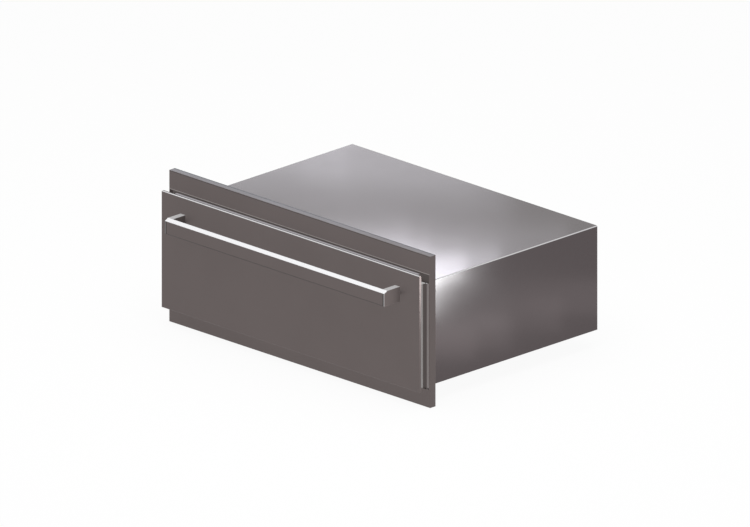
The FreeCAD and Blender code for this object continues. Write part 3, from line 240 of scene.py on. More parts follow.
class Group(Tree):
    """A node group in the making. The kind of an input or output follows from its value."""

    def __init__(self, name, kind, inputs, outputs):
        super().__init__(bpy.data.node_groups.new(name, kind))
        self.names = {}
        for way, values in (("INPUT", inputs), ("OUTPUT", outputs)):
            for label, value in values.items():
                socket = self.tree.interface.new_socket(
                    label, in_out=way, socket_type=SOCKET_KINDS[type(value)])
                if value is not None:
                    socket.default_value = value
                self.names[label] = socket.identifier
        self.given = self.add("NodeGroupInput").outputs
        self.made = self.add("NodeGroupOutput").inputs

    def give(self, **results):
        """Ends the tree with its results."""
        for label, result in results.items():
            self.feed(self.made[label], result)
        return self.tree


# ---- shared effects

ENDLESS = 10.0


def effect_group(name, inputs, *outputs):
    """An empty shader group that puts out masks, values or heights."""
    return Group(name, "ShaderNodeTree", inputs, dict.fromkeys(outputs, 0.0))


def brushed_grain():
    """Fine scratches that run along one axis. Lines across is how many there are in a metre, on each axis."""
    group = effect_group(
        "Brushed grain", {"Lines across": (900.0, 900.0, 14.0), "Breakup": 0.3}, "Streak", "Height")
    breakup = group.given["Breakup"]
    lines = group.vector("MULTIPLY", group.place(), group.given["Lines across"])
    fine = group.noise(lines, 1.0, detail=3.0, roughness=0.6)
    coarse = group.noise(group.vector("SCALE", lines, Scale=0.13), 1.0, detail=2.0)
    mixed = group.maths("ADD", fine, group.times(coarse, breakup))
    return group.give(Streak=group.maths("DIVIDE", mixed, group.maths("ADD", breakup, 1.0)), Height=fine)


def rolled_grain():
    """The even, slightly woven grain of satin sheet: short scratches along each axis."""
    group = effect_group("Rolled grain", {"Fineness": 700.0, "Length": 0.16}, "Grain", "Height")
    total = 0.0
    for axis in "XYZ":
        squeeze = {"X": 1.0, "Y": 1.0, "Z": 1.0, axis: group.given["Length"]}
        squeezed = group.vector("MULTIPLY", group.place(), group.out("ShaderNodeCombineXYZ", **squeeze))
        total = group.maths("ADD", total, group.noise(squeezed, group.given["Fineness"], detail=2.0))
    grain = group.maths("DIVIDE", total, 3.0)
    return group.give(Grain=grain, Height=grain)


def handling_marks():
    """Large soft patches where a surface was wiped or touched."""
    group = effect_group("Handling marks", {"Patches": 7.0, "Amount": 1.0}, "Mask")
    patch = group.noise(group.place(), group.given["Patches"], detail=4.0, roughness=0.55)
    mask = group.ramp(patch, "SMOOTHSTEP", From_Min=0.38, From_Max=0.66)
    return group.give(Mask=group.times(mask, group.given["Amount"]))


def edge_wear():
    """Where corners are rubbed bright: the rounded normal against the true one, broken up a little."""
    group = effect_group("Edge wear", {"Radius": 0.0012, "Amount": 1.0}, "Mask")
    rounded = group.out("ShaderNodeBevel", {"samples": 4}, Radius=group.given["Radius"])
    corner = group.ramp(group.vector("DOT_PRODUCT", rounded, group.normal()), From_Min=0.995, From_Max=0.80)
    rub = group.maths("ADD", group.noise(group.place(), 60.0, detail=3.0), 0.4)
    return group.give(Mask=group.times(group.times(corner, rub), group.given["Amount"]))


def settled_dust():
    """A thin film on faces that look up."""
    group = effect_group("Settled dust", {"Amount": 1.0}, "Mask")
    up = group.add("ShaderNodeSeparateXYZ", Vector=group.normal()).outputs["Z"]
    speck = group.noise(group.place(), 240.0, detail=4.0, roughness=0.7)
    film = group.times(group.maths("MAXIMUM", up, 0.0), speck)
    return group.give(Mask=group.times(film, group.given["Amount"]))


def facing():
    """Where a surface faces a given way, inside a zone set out by its distances from the frame's planes."""
    group = effect_group("Facing", {
        "Direction": (0.0, 0.0, 1.0), "From": 0.5, "To": 0.9, "Centre": (0.0, 0.0, 0.0),
        "Reach": (ENDLESS, ENDLESS, ENDLESS)}, "Mask")
    given = group.given
    away = group.vector("SUBTRACT", group.vector("ABSOLUTE", group.place()), given["Centre"])
    room = group.vector("SUBTRACT", given["Reach"], group.vector("ABSOLUTE", away))
    x, y, z = group.add("ShaderNodeSeparateXYZ", Vector=room).outputs
    inside = group.maths("GREATER_THAN", group.maths("MINIMUM", group.maths("MINIMUM", x, y), z), 0.0)
    share = group.vector("DOT_PRODUCT", group.normal(), given["Direction"])
    faced = group.ramp(share, "SMOOTHSTEP", From_Min=given["From"], From_Max=given["To"])
    return group.give(Mask=group.times(faced, inside))


GROUPS = {}


def make_groups():
    """Builds each shared effect once."""
    for make in (brushed_grain, rolled_grain, handling_marks, edge_wear, settled_dust, facing):
        GROUPS[make.__name__] = make()


# ---- kinds of finish

PALE_DUST = (0.5, 0.49, 0.48, 1.0)
GREY_DUST = (0.30, 0.29, 0.28, 1.0)


class Finish(Tree):
    """A material in the making, with one Principled shader."""

    def __init__(self, **inputs):
        self.material = bpy.data.materials.new("finish")
        self.material.use_nodes = True
        super().__init__(self.material.node_tree)
        self.tree.nodes.clear()
        self.shader = self.add("ShaderNodeBsdfPrincipled", IOR=1.5, **inputs)
        self.add("ShaderNodeOutputMaterial", Surface=self.shader.outputs[0])

    def effect(self, name, **values):
        """Places a shared effect with its own values."""
        return self.add("ShaderNodeGroup", {"node_tree": GROUPS[name]}, **values).outputs

    def faced(self, direction, low_end, high_end, *zone):
        """The mask of the faces that look one way, anywhere or inside a zone."""
        limits = dict(zip(("Centre", "Reach"), zone))
        return self.effect("facing", Direction=direction, From=low_end, To=high_end, **limits)["Mask"]

    def tinted(self, colour, mask, target):
        """Moves a colour towards the target where the mask is."""
        node = self.add("ShaderNodeMix", {"data_type": "RGBA"}, Factor=mask, A=colour, B=target)
        return node.outputs["Result"]

    def varied(self, value, low, high):
        """Maps 0..1 to low..high."""
        return self.ramp(value, To_Min=low, To_Max=high)

    def done(self, colour, roughness, height=None, depth=0.0):
        """Feeds the shader, bumps the surface where there is a height, and returns the material."""
        self.feed(self.shader.inputs["Base Color"], colour)
        self.feed(self.shader.inputs["Roughness"], roughness)
        if height is not None:
            bump = self.add("ShaderNodeBump", Strength=1.0, Distance=depth, Height=height)
            self.feed(self.shader.inputs["Normal"], bump.outputs["Normal"])
        return self.material


def shade(colour, factor=1.0):
    """A lighter or darker version of a colour, as RGBA."""
    return tuple(min(1.0, part * factor) for part in colour) + (1.0,)


def brushed_metal(colour, roughness, across, contrast=0.05, depth=0.000006, wear=0.6, metallic=1.0,
                  polish=(), seams=()):
    """Metal with one direction of scratches, wiped patches and rubbed edges.

    Each highlight is a painted highlight: a colour, the direction, from and to of the faces that have it, and
    perhaps its zone.
    Each of the dark and bright lines is the same, but as rough as the rest; most are painted shade lines and
    painted highlight lines.
    """
    finish = Finish(Metallic=metallic)
    grain = finish.effect("brushed_grain", Lines_across=across)
    marks = finish.effect("handling_marks")["Mask"]
    worn = finish.effect("edge_wear", Amount=wear)["Mask"]
    low = shade(colour, 1.0 - contrast)
    streaked = finish.tinted(low, grain["Streak"], shade(colour, 1.0 + contrast))
    wiped = finish.tinted(streaked, finish.times(marks, 0.25), low)
    base = finish.tinted(wiped, worn, shade(colour, 2.0))
    rough = finish.varied(grain["Streak"], roughness - 0.05, roughness + 0.05)
    touched = finish.maths("ADD", rough, finish.times(marks, 0.03))
    for bright, *faces in polish:
        mask = finish.faced(*faces)
        base = finish.tinted(base, mask, shade(bright))
        touched = finish.maths("SUBTRACT", touched, finish.times(mask, 0.18))
    for line, *faces in seams:
        base = finish.tinted(base, finish.faced(*faces), shade(line))
    return finish.done(base, touched, grain["Height"], depth)


def front_metal(colour, across, roughness=0.42, **more):
    """Brushed steel of the drawer's front and of the frame round it."""
    return brushed_metal(colour, roughness, across, depth=0.000004, metallic=0.85, **more)


def satin_metal(colour, roughness, contrast, depth, fineness=700.0, dust=0.0, polish=()):
    """Rolled sheet with an even woven grain. A highlight is a painted highlight as for brushed_metal, but as
    rough as the rest.
    """
    finish = Finish(Metallic=1.0)
    grain = finish.effect("rolled_grain", Fineness=fineness)
    marks = finish.effect("handling_marks", Patches=5.0)["Mask"]
    worn = finish.effect("edge_wear", Amount=0.5)["Mask"]
    grained = finish.tinted(shade(colour, 1.0 - contrast), grain["Grain"], shade(colour, 1.0 + contrast))
    base = finish.tinted(grained, worn, shade(colour, 1.8))
    if dust:
        base = finish.tinted(base, finish.effect("settled_dust", Amount=dust)["Mask"], PALE_DUST)
    for bright, *faces in polish:
        base = finish.tinted(base, finish.faced(*faces), shade(bright))
    rough = finish.varied(grain["Grain"], roughness - 0.04, roughness + 0.04)
    return finish.done(base, finish.maths("ADD", rough, finish.times(marks, 0.04)), grain["Height"], depth)


def spangled_metal(colour, roughness, size):
    """Galvanised sheet: angular crystals of slightly different tone."""
    finish = Finish(Metallic=1.0)
    crystal = finish.add("ShaderNodeTexVoronoi", Vector=finish.place(), Scale=size).outputs["Color"]
    tone, gloss, _ = finish.add("ShaderNodeSeparateColor", Color=crystal).outputs
    spangle = finish.tinted(shade(colour, 0.86), tone, shade(colour, 1.12))
    base = finish.tinted(spangle, finish.effect("edge_wear", Amount=0.4)["Mask"], shade(colour, 1.5))
    rough = finish.varied(gloss, roughness - 0.06, roughness + 0.08)
    return finish.done(base, rough, finish.effect("rolled_grain")["Height"], 0.00001)


def moulded(colour, roughness, grain_scale, depth, dust=0.15):
    """Moulded plastic or rubber with a fine spark-eroded texture and a little dust."""
    finish = Finish()
    texture = finish.noise(finish.place(), grain_scale, detail=3.0, roughness=0.6)
    worn = finish.effect("edge_wear", Amount=0.35)["Mask"]
    film = finish.effect("settled_dust", Amount=dust)["Mask"]
    rubbed = finish.tinted(finish.tinted(shade(colour, 0.85), texture, shade(colour, 1.2)), worn,
                           shade(colour, 2.4))
    rough = finish.varied(texture, roughness - 0.06, roughness + 0.08)
    return finish.done(finish.tinted(rubbed, film, GREY_DUST), rough, texture, depth)


def fibrous(colour):
    """Matted mineral fibre: crossed strands with loose tufts."""
    finish = Finish()
    strands = finish.effect("rolled_grain", Fineness=260.0, Length=0.08)
    tufts = finish.noise(finish.place(), 35.0, detail=5.0, roughness=0.6)
    mixed = finish.tinted(shade(colour, 0.62), strands["Grain"], shade(colour, 1.25))
    base = finish.tinted(mixed, finish.times(tufts, 0.4), shade(colour, 0.7))
    return finish.done(base, 0.95, finish.maths("ADD", strands["Height"], tufts), 0.0012)


def glazed(colour, transmission, roughness):
    """Glazed ceramic or a clear lens."""
    finish = Finish(Transmission_Weight=transmission, Coat_Weight=0.4, Coat_Roughness=0.06)
    cloud = finish.noise(finish.place(), 180.0, detail=3.0)
    base = finish.tinted(shade(colour, 0.9), cloud, shade(colour, 1.08))
    return finish.done(base, finish.varied(cloud, roughness, roughness + 0.06))


# How many scratches there are in a metre along X, Y and Z.
UPRIGHT = (1000.0, 1000.0, 16.0)
SIDEWAYS = (16.0, 1000.0, 1000.0)
LENGTHWISE = (1000.0, 16.0, 1000.0)

# The ways that folds and edges face, for the painted highlights and painted shade lines.
UP = (0.0, 0.0, 1.0)
FORWARD = (0.0, -1.0, 0.0)
CROWN_NORMAL = (0.0, -0.455, 0.890)
RIM_NORMAL = (0.0, -0.6, 0.8)
EDGE_NORMAL = (0.0, -0.9, 0.436)
BEND_NORMAL = (0.707, 0.0, 0.707)

# How closely a face has to look that way: where its mask starts, and where it is full.
MAINLY = (0.8, 0.9)
ROUGHLY = (0.6, 0.8)
AT_ALL = (0.4, 0.6)
ANY_WAY = (-1.0, -0.9)

# Distances of edges from the row frame's planes.
PANEL_FRONT, PANEL_BACK = (-corner.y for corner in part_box("front_panel"))
FRAME_FRONT, FRAME_BACK = (-corner.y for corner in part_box("trim_frame"))
COVE_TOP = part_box("header_cove")[1].z
GUTTER_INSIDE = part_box("right_gutter")[0].x
JAMB_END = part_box("front_jamb")[1].x
HANDLE_FOOT, HANDLE_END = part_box("handle")[0].z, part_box("handle")[1].x
# How far a zone runs past the edge that it follows.
PAST = 0.0001


def band(**spans):
    """A zone's centre and half size, from its two distances on each axis. Without them it has no end."""
    spans = [spans.get(axis, (-ENDLESS, ENDLESS)) for axis in "xyz"]
    centre = tuple((low + high) / 2 for low, high in spans)
    return centre, tuple((high - low) / 2 for low, high in spans)


# The painted highlight on the front of the panel's rim, and the painted shade line at its rear, over the gap
# behind the panel.
RIM_SPLIT = PANEL_FRONT - 0.0031
RIM_HIGHLIGHT_ZONE = band(y=(RIM_SPLIT, PANEL_FRONT + PAST))
RIM_SHADE_ZONE = band(y=(PANEL_BACK - PAST, RIM_SPLIT))
# The painted highlight on the frame's lip over the cove, and the painted shade line along its rear edge.
LIP_HIGHLIGHT_ZONE = band(y=(FRAME_FRONT - 0.01, FRAME_FRONT + 0.01), z=(COVE_TOP + PAST, COVE_TOP + 0.0011))
REAR_SHADE_ZONE = band(y=(FRAME_BACK - PAST, FRAME_BACK + 0.0033))
# The dark stripe of painted shade in a gutter's hollow and its bright stripe of painted highlight, and the
# edge of the jamb beside it.
HOLLOW_SHADE_ZONE = band(x=(GUTTER_INSIDE - 0.001, GUTTER_INSIDE + 0.004))
GUTTER_HIGHLIGHT_ZONE = band(x=(GUTTER_INSIDE + 0.0064, GUTTER_INSIDE + 0.0092))
JAMB_ZONE = band(x=(JAMB_END - 0.0018, JAMB_END + PAST))
# The painted shade line under the handle's face, and the painted shade line and painted highlight line down
# each of its ends.
END_SPLIT = HANDLE_END - 0.0015
UNDER_SHADE_ZONE = band(z=(HANDLE_FOOT, HANDLE_FOOT + 0.0016))
END_SHADE_ZONE = band(x=(END_SPLIT - 0.003, END_SPLIT))
END_HIGHLIGHT_ZONE = band(x=(END_SPLIT, HANDLE_END + PAST))


def make_materials(tones):
    """Every finish, by the name that a material slot, FINISH_OF or an operator has for it."""
    finishes = {
        # The frame: a painted highlight on the lip over the cove, and painted shade lines along its top front
        # edge and its rear edge.
        "stainless_front": front_metal(
            tones.front, UPRIGHT, polish=((tones.lip, FORWARD, *MAINLY, *LIP_HIGHLIGHT_ZONE),),
            seams=((tones.seam, EDGE_NORMAL, 0.93, 0.99), (tones.seam, UP, *MAINLY, *REAR_SHADE_ZONE))),
        # The panel: a painted highlight on the front rounding and top of its rim, and a painted shade line
        # behind it.
        "panel_steel": front_metal(
            tones.front, UPRIGHT, seams=((tones.seam, UP, *MAINLY, *RIM_SHADE_ZONE),),
            polish=((tones.crown, RIM_NORMAL, 0.7, 0.93, *RIM_HIGHLIGHT_ZONE), (tones.rim, UP, 0.85, 0.98, *RIM_HIGHLIGHT_ZONE))),
        # The inner front: painted light on its upward faces.
        "ledge_steel": front_metal(tones.front, SIDEWAYS, polish=((tones.ledge, UP, 0.4, 0.9),)),
        # The handle: a painted highlight on its crown and down its ends, and painted shade lines under its
        # face and beside its ends.
        "handle_steel": front_metal(
            tones.front, SIDEWAYS, polish=((tones.crown, CROWN_NORMAL, 0.76, 0.97),),
            seams=((tones.seam, FORWARD, *AT_ALL, *UNDER_SHADE_ZONE),
                   (tones.seam, FORWARD, *ROUGHLY, *END_SHADE_ZONE),
                   (tones.crown, FORWARD, *ROUGHLY, *END_HIGHLIGHT_ZONE))),
        # The cove's darker steel is painted shade of the recess.
        "shaded_cove_steel": front_metal(tones.cove, SIDEWAYS, 0.45),
        # The gutters: a dark stripe of painted shade in the hollow and a stripe of painted highlight further
        # out.
        "recess_steel": front_metal(
            tones.recess, UPRIGHT, 0.45, wear=0.05,
            seams=((tones.cove, FORWARD, *ANY_WAY, *HOLLOW_SHADE_ZONE),
                   (tones.lip, FORWARD, *ANY_WAY, *GUTTER_HIGHLIGHT_ZONE))),
        # The casing: a painted highlight along its bend.
        "casing_steel": satin_metal(
            tones.casing, 0.21, 0.11, 0.00001, polish=((tones.rim, BEND_NORMAL, 0.80, 0.92),)),
        "jamb_steel": brushed_metal(
            tones.stainless, 0.30, SIDEWAYS, seams=((tones.recess, FORWARD, *MAINLY, *JAMB_ZONE),)),
        "stainless": brushed_metal(tones.stainless, 0.30, SIDEWAYS),
        "galvanised": spangled_metal(tones.galvanised, 0.38, 90.0),
        "liner_steel": satin_metal(tones.liner, 0.36, 0.08, 0.00001, dust=0.06),
        "zinc_plated": satin_metal(tones.zinc, 0.30, 0.06, 0.000006, 1500.0),
        "cage_steel": satin_metal(tones.cage, 0.22, 0.04, 0.000004, 1500.0),
        "element_sheath": brushed_metal(tones.sheath, 0.42, LENGTHWISE, contrast=0.12, depth=0.00001),
        "fibre": fibrous(tones.fibre),
        "board": moulded(tones.board, 0.8, 300.0, 0.0002),
        "silicone": moulded(tones.silicone, 0.62, 700.0, 0.00003, dust=0.25),
        "black_plastic": moulded(tones.black, 0.45, 1400.0, 0.00002),
        "knob_plastic": moulded(tones.knob, 0.28, 1800.0, 0.00001, dust=0.08),
        "pointer": moulded(tones.pointer, 0.4, 900.0, 0.000005, dust=0.05),
        "ink": moulded(tones.print, 0.5, 900.0, 0.000005, dust=0.05),
        "lamp_lens": glazed(tones.lens, 0.35, 0.12),
        "ceramic": glazed(tones.ceramic, 0.0, 0.16),
        "cable_rubber": moulded(tones.rubber, 0.6, 900.0, 0.00003),
        "nylon": moulded(tones.nylon, 0.48, 1200.0, 0.00002),
    }
    for name, material in finishes.items():
        material.name = name + "_finish"
    return finishes


MATERIALS = {}
FINISH_OF = {
    "header_cove": "shaded_cove_steel", "left_gutter": "recess_steel", "right_gutter": "recess_steel",
    "front_panel": "panel_steel", "handle": "handle_steel", "inner_front": "ledge_steel",
    "front_jamb": "jamb_steel",
}


class WDRAWER_OT_finishes(bpy.types.Operator):
    """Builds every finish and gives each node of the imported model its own"""

    bl_idname = "wdrawer.finishes"
    bl_label = "Finishes"

    def execute(self, context):
        make_groups()
        MATERIALS.update(make_materials(context.scene.wdrawer_finishes))
        for name, node in frame["nodes"].items():
            slot = NODE_SLOTS[name]
            node.data.materials.clear()
            node.data.materials.append(MATERIALS[FINISH_OF.get(name, slot)])
        return {"FINISHED"}


# ---- pieces

def put(name, data):
    """A new object in the scene."""
    thing = bpy.data.objects.new(name, data)
    bpy.context.scene.collection.objects.link(thing)
    return thing


def settled(name, mesh, body, replaced=()):
    """Makes a mesh a piece of the object: on its body, in place of the nodes it stands for."""
    piece = put(name, mesh)
    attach(piece, body)
    if replaced:
        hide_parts(*replaced)
    return piece


def shown_mesh(holder):
    """The plain mesh that an object shows. The object goes, with its modifiers."""
    graph = bpy.context.evaluated_depsgraph_get()
    mesh = bpy.data.meshes.new_from_object(holder.evaluated_get(graph), depsgraph=graph)
    holder.modifiers.clear()
    bpy.data.objects.remove(holder)
    return mesh


def mesh_from(shape, name, material):
    """Ends a shape that was edited in memory: a mesh with one material."""
    mesh = bpy.data.meshes.new(name)
    shape.to_mesh(mesh)
    shape.free()
    mesh.materials.append(material)
    return mesh


def points_mesh(name, *places):
    """A mesh of loose points."""
    mesh = bpy.data.meshes.new(name)
    mesh.from_pydata(places, [], [])
    return mesh


class ShapeTree(Group):
    """A Geometry Nodes tree in the making. It puts its shape on each of the points that it is given."""

    def __init__(self, name, sizes):
        super().__init__(name, "GeometryNodeTree", {"Points": None, **sizes}, {"Geometry": None})
        self.sizes = [self.given[label] for label in sizes]

    def point(self, x=0.0, y=0.0, z=0.0):
        """A vector from three numbers or sockets."""
        return self.out("ShaderNodeCombineXYZ", X=x, Y=y, Z=z)

    def cube(self, x, y, z):
        """A block of three sizes."""
        return self.out("GeometryNodeMeshCube", Size=self.point(x, y, z))

    def circle(self, width, corners):
        """A round outline."""
        radius = self.times(width, 0.5)
        return self.out("GeometryNodeCurvePrimitiveCircle", Resolution=corners, Radius=radius)

    def straight(self, start, end):
        """A straight path."""
        return self.out("GeometryNodeCurvePrimitiveLine", Start=start, End=end)

    def swept(self, path, outline, caps=True):
        """An outline drawn along a path."""
        return self.out("GeometryNodeCurveToMesh", Curve=path, Profile_Curve=outline, Fill_Caps=caps)

    def row(self, count, start, step):
        """Points at an even pitch."""
        return self.out("GeometryNodeMeshLine", Count=count, Start_Location=start, Offset=step)

    def spread(self, points, shape, **turn):
        """A shape on every point."""
        return self.out("GeometryNodeInstanceOnPoints", Points=points, Instance=shape, **turn)

    def placed(self, shape, **changes):
        """A moved, turned or scaled copy."""
        return self.out("GeometryNodeTransform", Geometry=shape, **changes)

    def gather(self, node, socket, parts):
        """Joins several shapes to one input."""
        for part in parts:
            self.feed(node.inputs[socket], part)
        return node.outputs[0]

    def joined(self, *parts):
        """Several geometries as one."""
        return self.gather(self.add("GeometryNodeJoinGeometry"), "Geometry", parts)

    def solids(self, operation, *parts, **whole):
        """Solids joined, crossed, or cut from a whole."""
        node = self.add("GeometryNodeMeshBoolean", {"operation": operation}, **whole)
        return self.gather(node, "Mesh 2", parts)

    def finish(self, shape, material, **turn):
        """Ends the tree: the shape on each of its points, as plain faces with their material."""
        placed = self.spread(self.given["Points"], shape, **turn)
        real = self.out("GeometryNodeRealizeInstances", Geometry=placed)
        self.give(Geometry=self.out("GeometryNodeSetMaterial", Geometry=real, Material=material))
        return self


def grown(name, points, tree, values, body, replaced=()):
    """Runs a tree on its points, keeps the plain mesh that it makes, and lets it ride on its body."""
    holder = put(name + "_tree", points)
    modifier = holder.modifiers.new("tree", "NODES")
    modifier.node_group = tree.tree
    for label, value in values.items():
        modifier[tree.names[label]] = value
    mesh = shown_mesh(holder)
    if not mesh.polygons:
        raise RuntimeError(f"{name}: the tree made no faces")
    mesh.name = name
    return settled(name, mesh, body, replaced)


# ---- screws

HEAD_STEPS = 28
HEAD_RINGS = 16


def pan_head_tree(material):
    """Domed screw heads with a cross recess, one on each point, facing along the point's direction."""
    tree = ShapeTree("Pan-head screws", {
        "Head width": 0.007, "Head height": 0.0022, "Recess length": 0.0040, "Recess width": 0.0009,
        "Recess depth": 0.0013})
    width, height, long, thin, depth = tree.sizes
    radius = tree.times(width, 0.5)
    ball = tree.out("GeometryNodeMeshUVSphere", Segments=HEAD_STEPS, Rings=HEAD_RINGS, Radius=1.0)
    dome = tree.placed(ball, Scale=tree.point(radius, radius, height))
    room = tree.cube(tree.times(width, 2.0), tree.times(width, 2.0), height)
    room = tree.placed(room, Translation=tree.point(z=tree.times(height, 0.5)))
    skirt = tree.out("GeometryNodeMeshCylinder", Vertices=HEAD_STEPS, Radius=tree.times(radius, 0.995),
                     Depth=tree.times(height, 0.5))
    skirt = tree.placed(skirt, Translation=tree.point(z=tree.times(height, 0.25)))
    head = tree.solids("UNION", tree.solids("INTERSECT", dome, room), skirt)
    deep = tree.times(depth, 2.0)
    arms = [tree.placed(tree.cube(*size, deep), Translation=tree.point(z=height))
            for size in ((long, thin), (thin, long))]
    cross = tree.solids("DIFFERENCE", *arms, Mesh_1=head)
    way = tree.out("GeometryNodeInputNamedAttribute", {"data_type": "FLOAT_VECTOR"}, Name="facing")
    turn = tree.out("FunctionNodeAlignRotationToVector", {"axis": "Z"}, Vector=way)
    return tree.finish(cross, material, Rotation=turn)


def islands(node):
    """Boxes of a node's separate solids, as pairs of corners."""
    mesh = bmesh.new()
    mesh.from_mesh(frame["nodes"][node].data)
    bmesh.ops.remove_doubles(mesh, verts=mesh.verts, dist=1e-6)
    left, boxes = dict.fromkeys(mesh.verts), []
    while left:
        stack, found = [left.popitem()[0]], []
        while stack:
            vertex = stack.pop()
            found.append(vertex.co.copy())
            for edge in vertex.link_edges:
                other = edge.other_vert(vertex)
                if other in left:
                    del left[other]
                    stack.append(other)
        boxes.append([Vector(pick(co[k] for co in found) for k in range(3)) for pick in (min, max)])
    mesh.free()
    return boxes


def head_points(name, node, facing_at):
    """The feet of a node's screw heads, each with the direction that it faces."""
    places, directions = [], []
    for low, high in islands(node):
        middle = (low + high) / 2
        way = Vector(facing_at(middle))
        places.append(middle - way * abs((high - low).dot(way)) / 2)
        directions.append(way)
    mesh = points_mesh(name, *places)
    attribute = mesh.attributes.new("facing", "FLOAT_VECTOR", "POINT")
    for n, way in enumerate(directions):
        attribute.data[n].vector = way
    return mesh


class WDRAWER_OT_screws(bpy.types.Operator):
    """Makes the pan-headed screws of the rear panel, the control strip, the slides and the drawer's frame"""

    bl_idname = "wdrawer.screws"
    bl_label = "Screws"

    def execute(self, context):
        sizes = context.scene.wdrawer_screws
        tree = pan_head_tree(MATERIALS["zinc_plated"])
        values = {"Head width": sizes.width, "Head height": sizes.height,
                  "Recess length": sizes.recess_length, "Recess width": sizes.recess_width}
        places = {
            "rear_panel_screws": ("casing", lambda middle: (0, 1, 0)),
            "control_panel_screws": ("casing", lambda middle: (0, -1, 0)),
            "drawer_front_screws": ("drawer", lambda middle: (0, 1, 0)),
            "slide_screws": ("drawer", lambda middle: (-1 if middle.x > 0 else 1, 0, 0)),
        }
        for node, (body, facing_at) in places.items():
            name = node[:-1] + "_heads"
            grown(name, head_points(name, node, facing_at), tree, values, body, (node,))
        return {"FINISHED"}


# ---- rack

def rack_tree(material):
    """A wire rack: a round-cornered frame, cross wires at an even pitch, and four feet."""
    tree = ShapeTree("Wire rack", {
        "Width": 0.568, "Depth": 0.400, "Wires": 23, "Wire": 0.004, "Bar": 0.006, "Corner": 0.014,
        "Rise": 0.0099})
    width, depth, wires, wire, bar, corner, rise = tree.sizes
    thin = tree.circle(wire, 10)
    plan = tree.out("GeometryNodeCurvePrimitiveQuadrilateral", Width=width, Height=depth)
    rounded = tree.out("GeometryNodeFilletCurve", {"mode": "POLY"}, Curve=plan, Count=8, Radius=corner)
    edge = tree.swept(rounded, tree.circle(bar, 12), caps=False)
    half = tree.times(depth, 0.5)
    strand = tree.swept(tree.straight(tree.point(y=tree.times(half, -1.0)), tree.point(y=half)), thin)
    lift = tree.times(tree.maths("SUBTRACT", bar, wire), 0.5)
    pitch = tree.maths("DIVIDE", width, tree.maths("ADD", wires, 1.0))
    first = tree.maths("SUBTRACT", pitch, tree.times(width, 0.5))
    strands = tree.spread(tree.row(wires, tree.point(x=first, z=lift), tree.point(x=pitch)), strand)
    foot = tree.swept(tree.straight(tree.point(z=tree.times(rise, -1.0)), (0.0, 0.0, 0.0)), thin)
    apart = tree.times(width, 0.8)
    corners = tree.out("GeometryNodeMeshGrid", Size_X=apart, Size_Y=depth, Vertices_X=2, Vertices_Y=2)
    return tree.finish(tree.joined(edge, strands, tree.spread(corners, foot)), material)


class WDRAWER_OT_rack(bpy.types.Operator):
    """Makes the wire rack that lies in the pan"""

    bl_idname = "wdrawer.rack"
    bl_label = "Wire Rack"

    def execute(self, context):
        sizes = context.scene.wdrawer_rack
        low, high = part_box("wire_rack")
        level = high.z - sizes.bar / 2
        middle = ((low.x + high.x) / 2, (low.y + high.y) / 2, level)
        values = {"Width": high.x - low.x - sizes.bar, "Depth": high.y - low.y - sizes.bar,
                  "Wires": sizes.wires, "Wire": sizes.wire, "Bar": sizes.bar, "Corner": sizes.corner,
                  "Rise": level - low.z}
        rack = grown("pan_wire_rack", points_mesh("rack_place", middle), rack_tree(MATERIALS["stainless"]),
                     values, "drawer", ("wire_rack",))
        rack.data.shade_smooth()
        return {"FINISHED"}


# ---- dial

DIAL_SWEEP = math.radians(270)
PRINTED_NUMBERS = (0, 1, 2, 6, 7, 8)
NUMBER_RADIUS = 0.0178
NUMBER_SQUEEZE = 0.93
SWITCH_MARK_GAP = 0.0065


def tick_tree(material):
    """Short printed marks round part of a circle that faces -Y."""
    tree = ShapeTree("Dial marks", {
        "Marks": 9, "Radius": 0.0136, "Sweep": DIAL_SWEEP, "Length": 0.0016, "Width": 0.0005,
        "Film": 0.00008})
    marks, radius, sweep, length, width, film = tree.sizes
    mark = tree.placed(tree.cube(width, film, length), Translation=tree.point(z=radius))
    index = tree.out("GeometryNodeInputIndex")
    share = tree.maths("DIVIDE", index, tree.maths("SUBTRACT", marks, 1.0))
    angle = tree.times(tree.maths("SUBTRACT", share, 0.5), sweep)
    turn = tree.out("FunctionNodeEulerToRotation", Euler=tree.point(y=angle))
    stacked = tree.row(marks, (0.0, 0.0, 0.0), (0.0, 0.0, 0.0))
    return tree.finish(tree.spread(stacked, mark, Rotation=turn), material)


def printed_word(text, height, film, place):
    """Flat letters that face -Y, as a closed mesh in its place."""
    curve = bpy.data.curves.new("printed_" + text, "FONT")
    curve.body = text
    curve.size = height
    curve.align_x = "CENTER"
    curve.align_y = "CENTER"
    curve.extrude = film / 2
    curve.resolution_u = 3
    mesh = shown_mesh(put("printed_" + text, curve))
    for vertex in mesh.vertices:
        x, y, z = vertex.co
        vertex.co = Vector((place[0] + x, place[1] - z, place[2] + y))
    return mesh


def merged(name, meshes, material):
    """Several meshes as one, with one material."""
    whole = bmesh.new()
    for mesh in meshes:
        whole.from_mesh(mesh)
    bmesh.ops.remove_doubles(whole, verts=whole.verts, dist=1e-7)
    bmesh.ops.recalc_face_normals(whole, faces=whole.faces)
    for face in whole.faces:
        face.material_index = 0
    return mesh_from(whole, name, material)


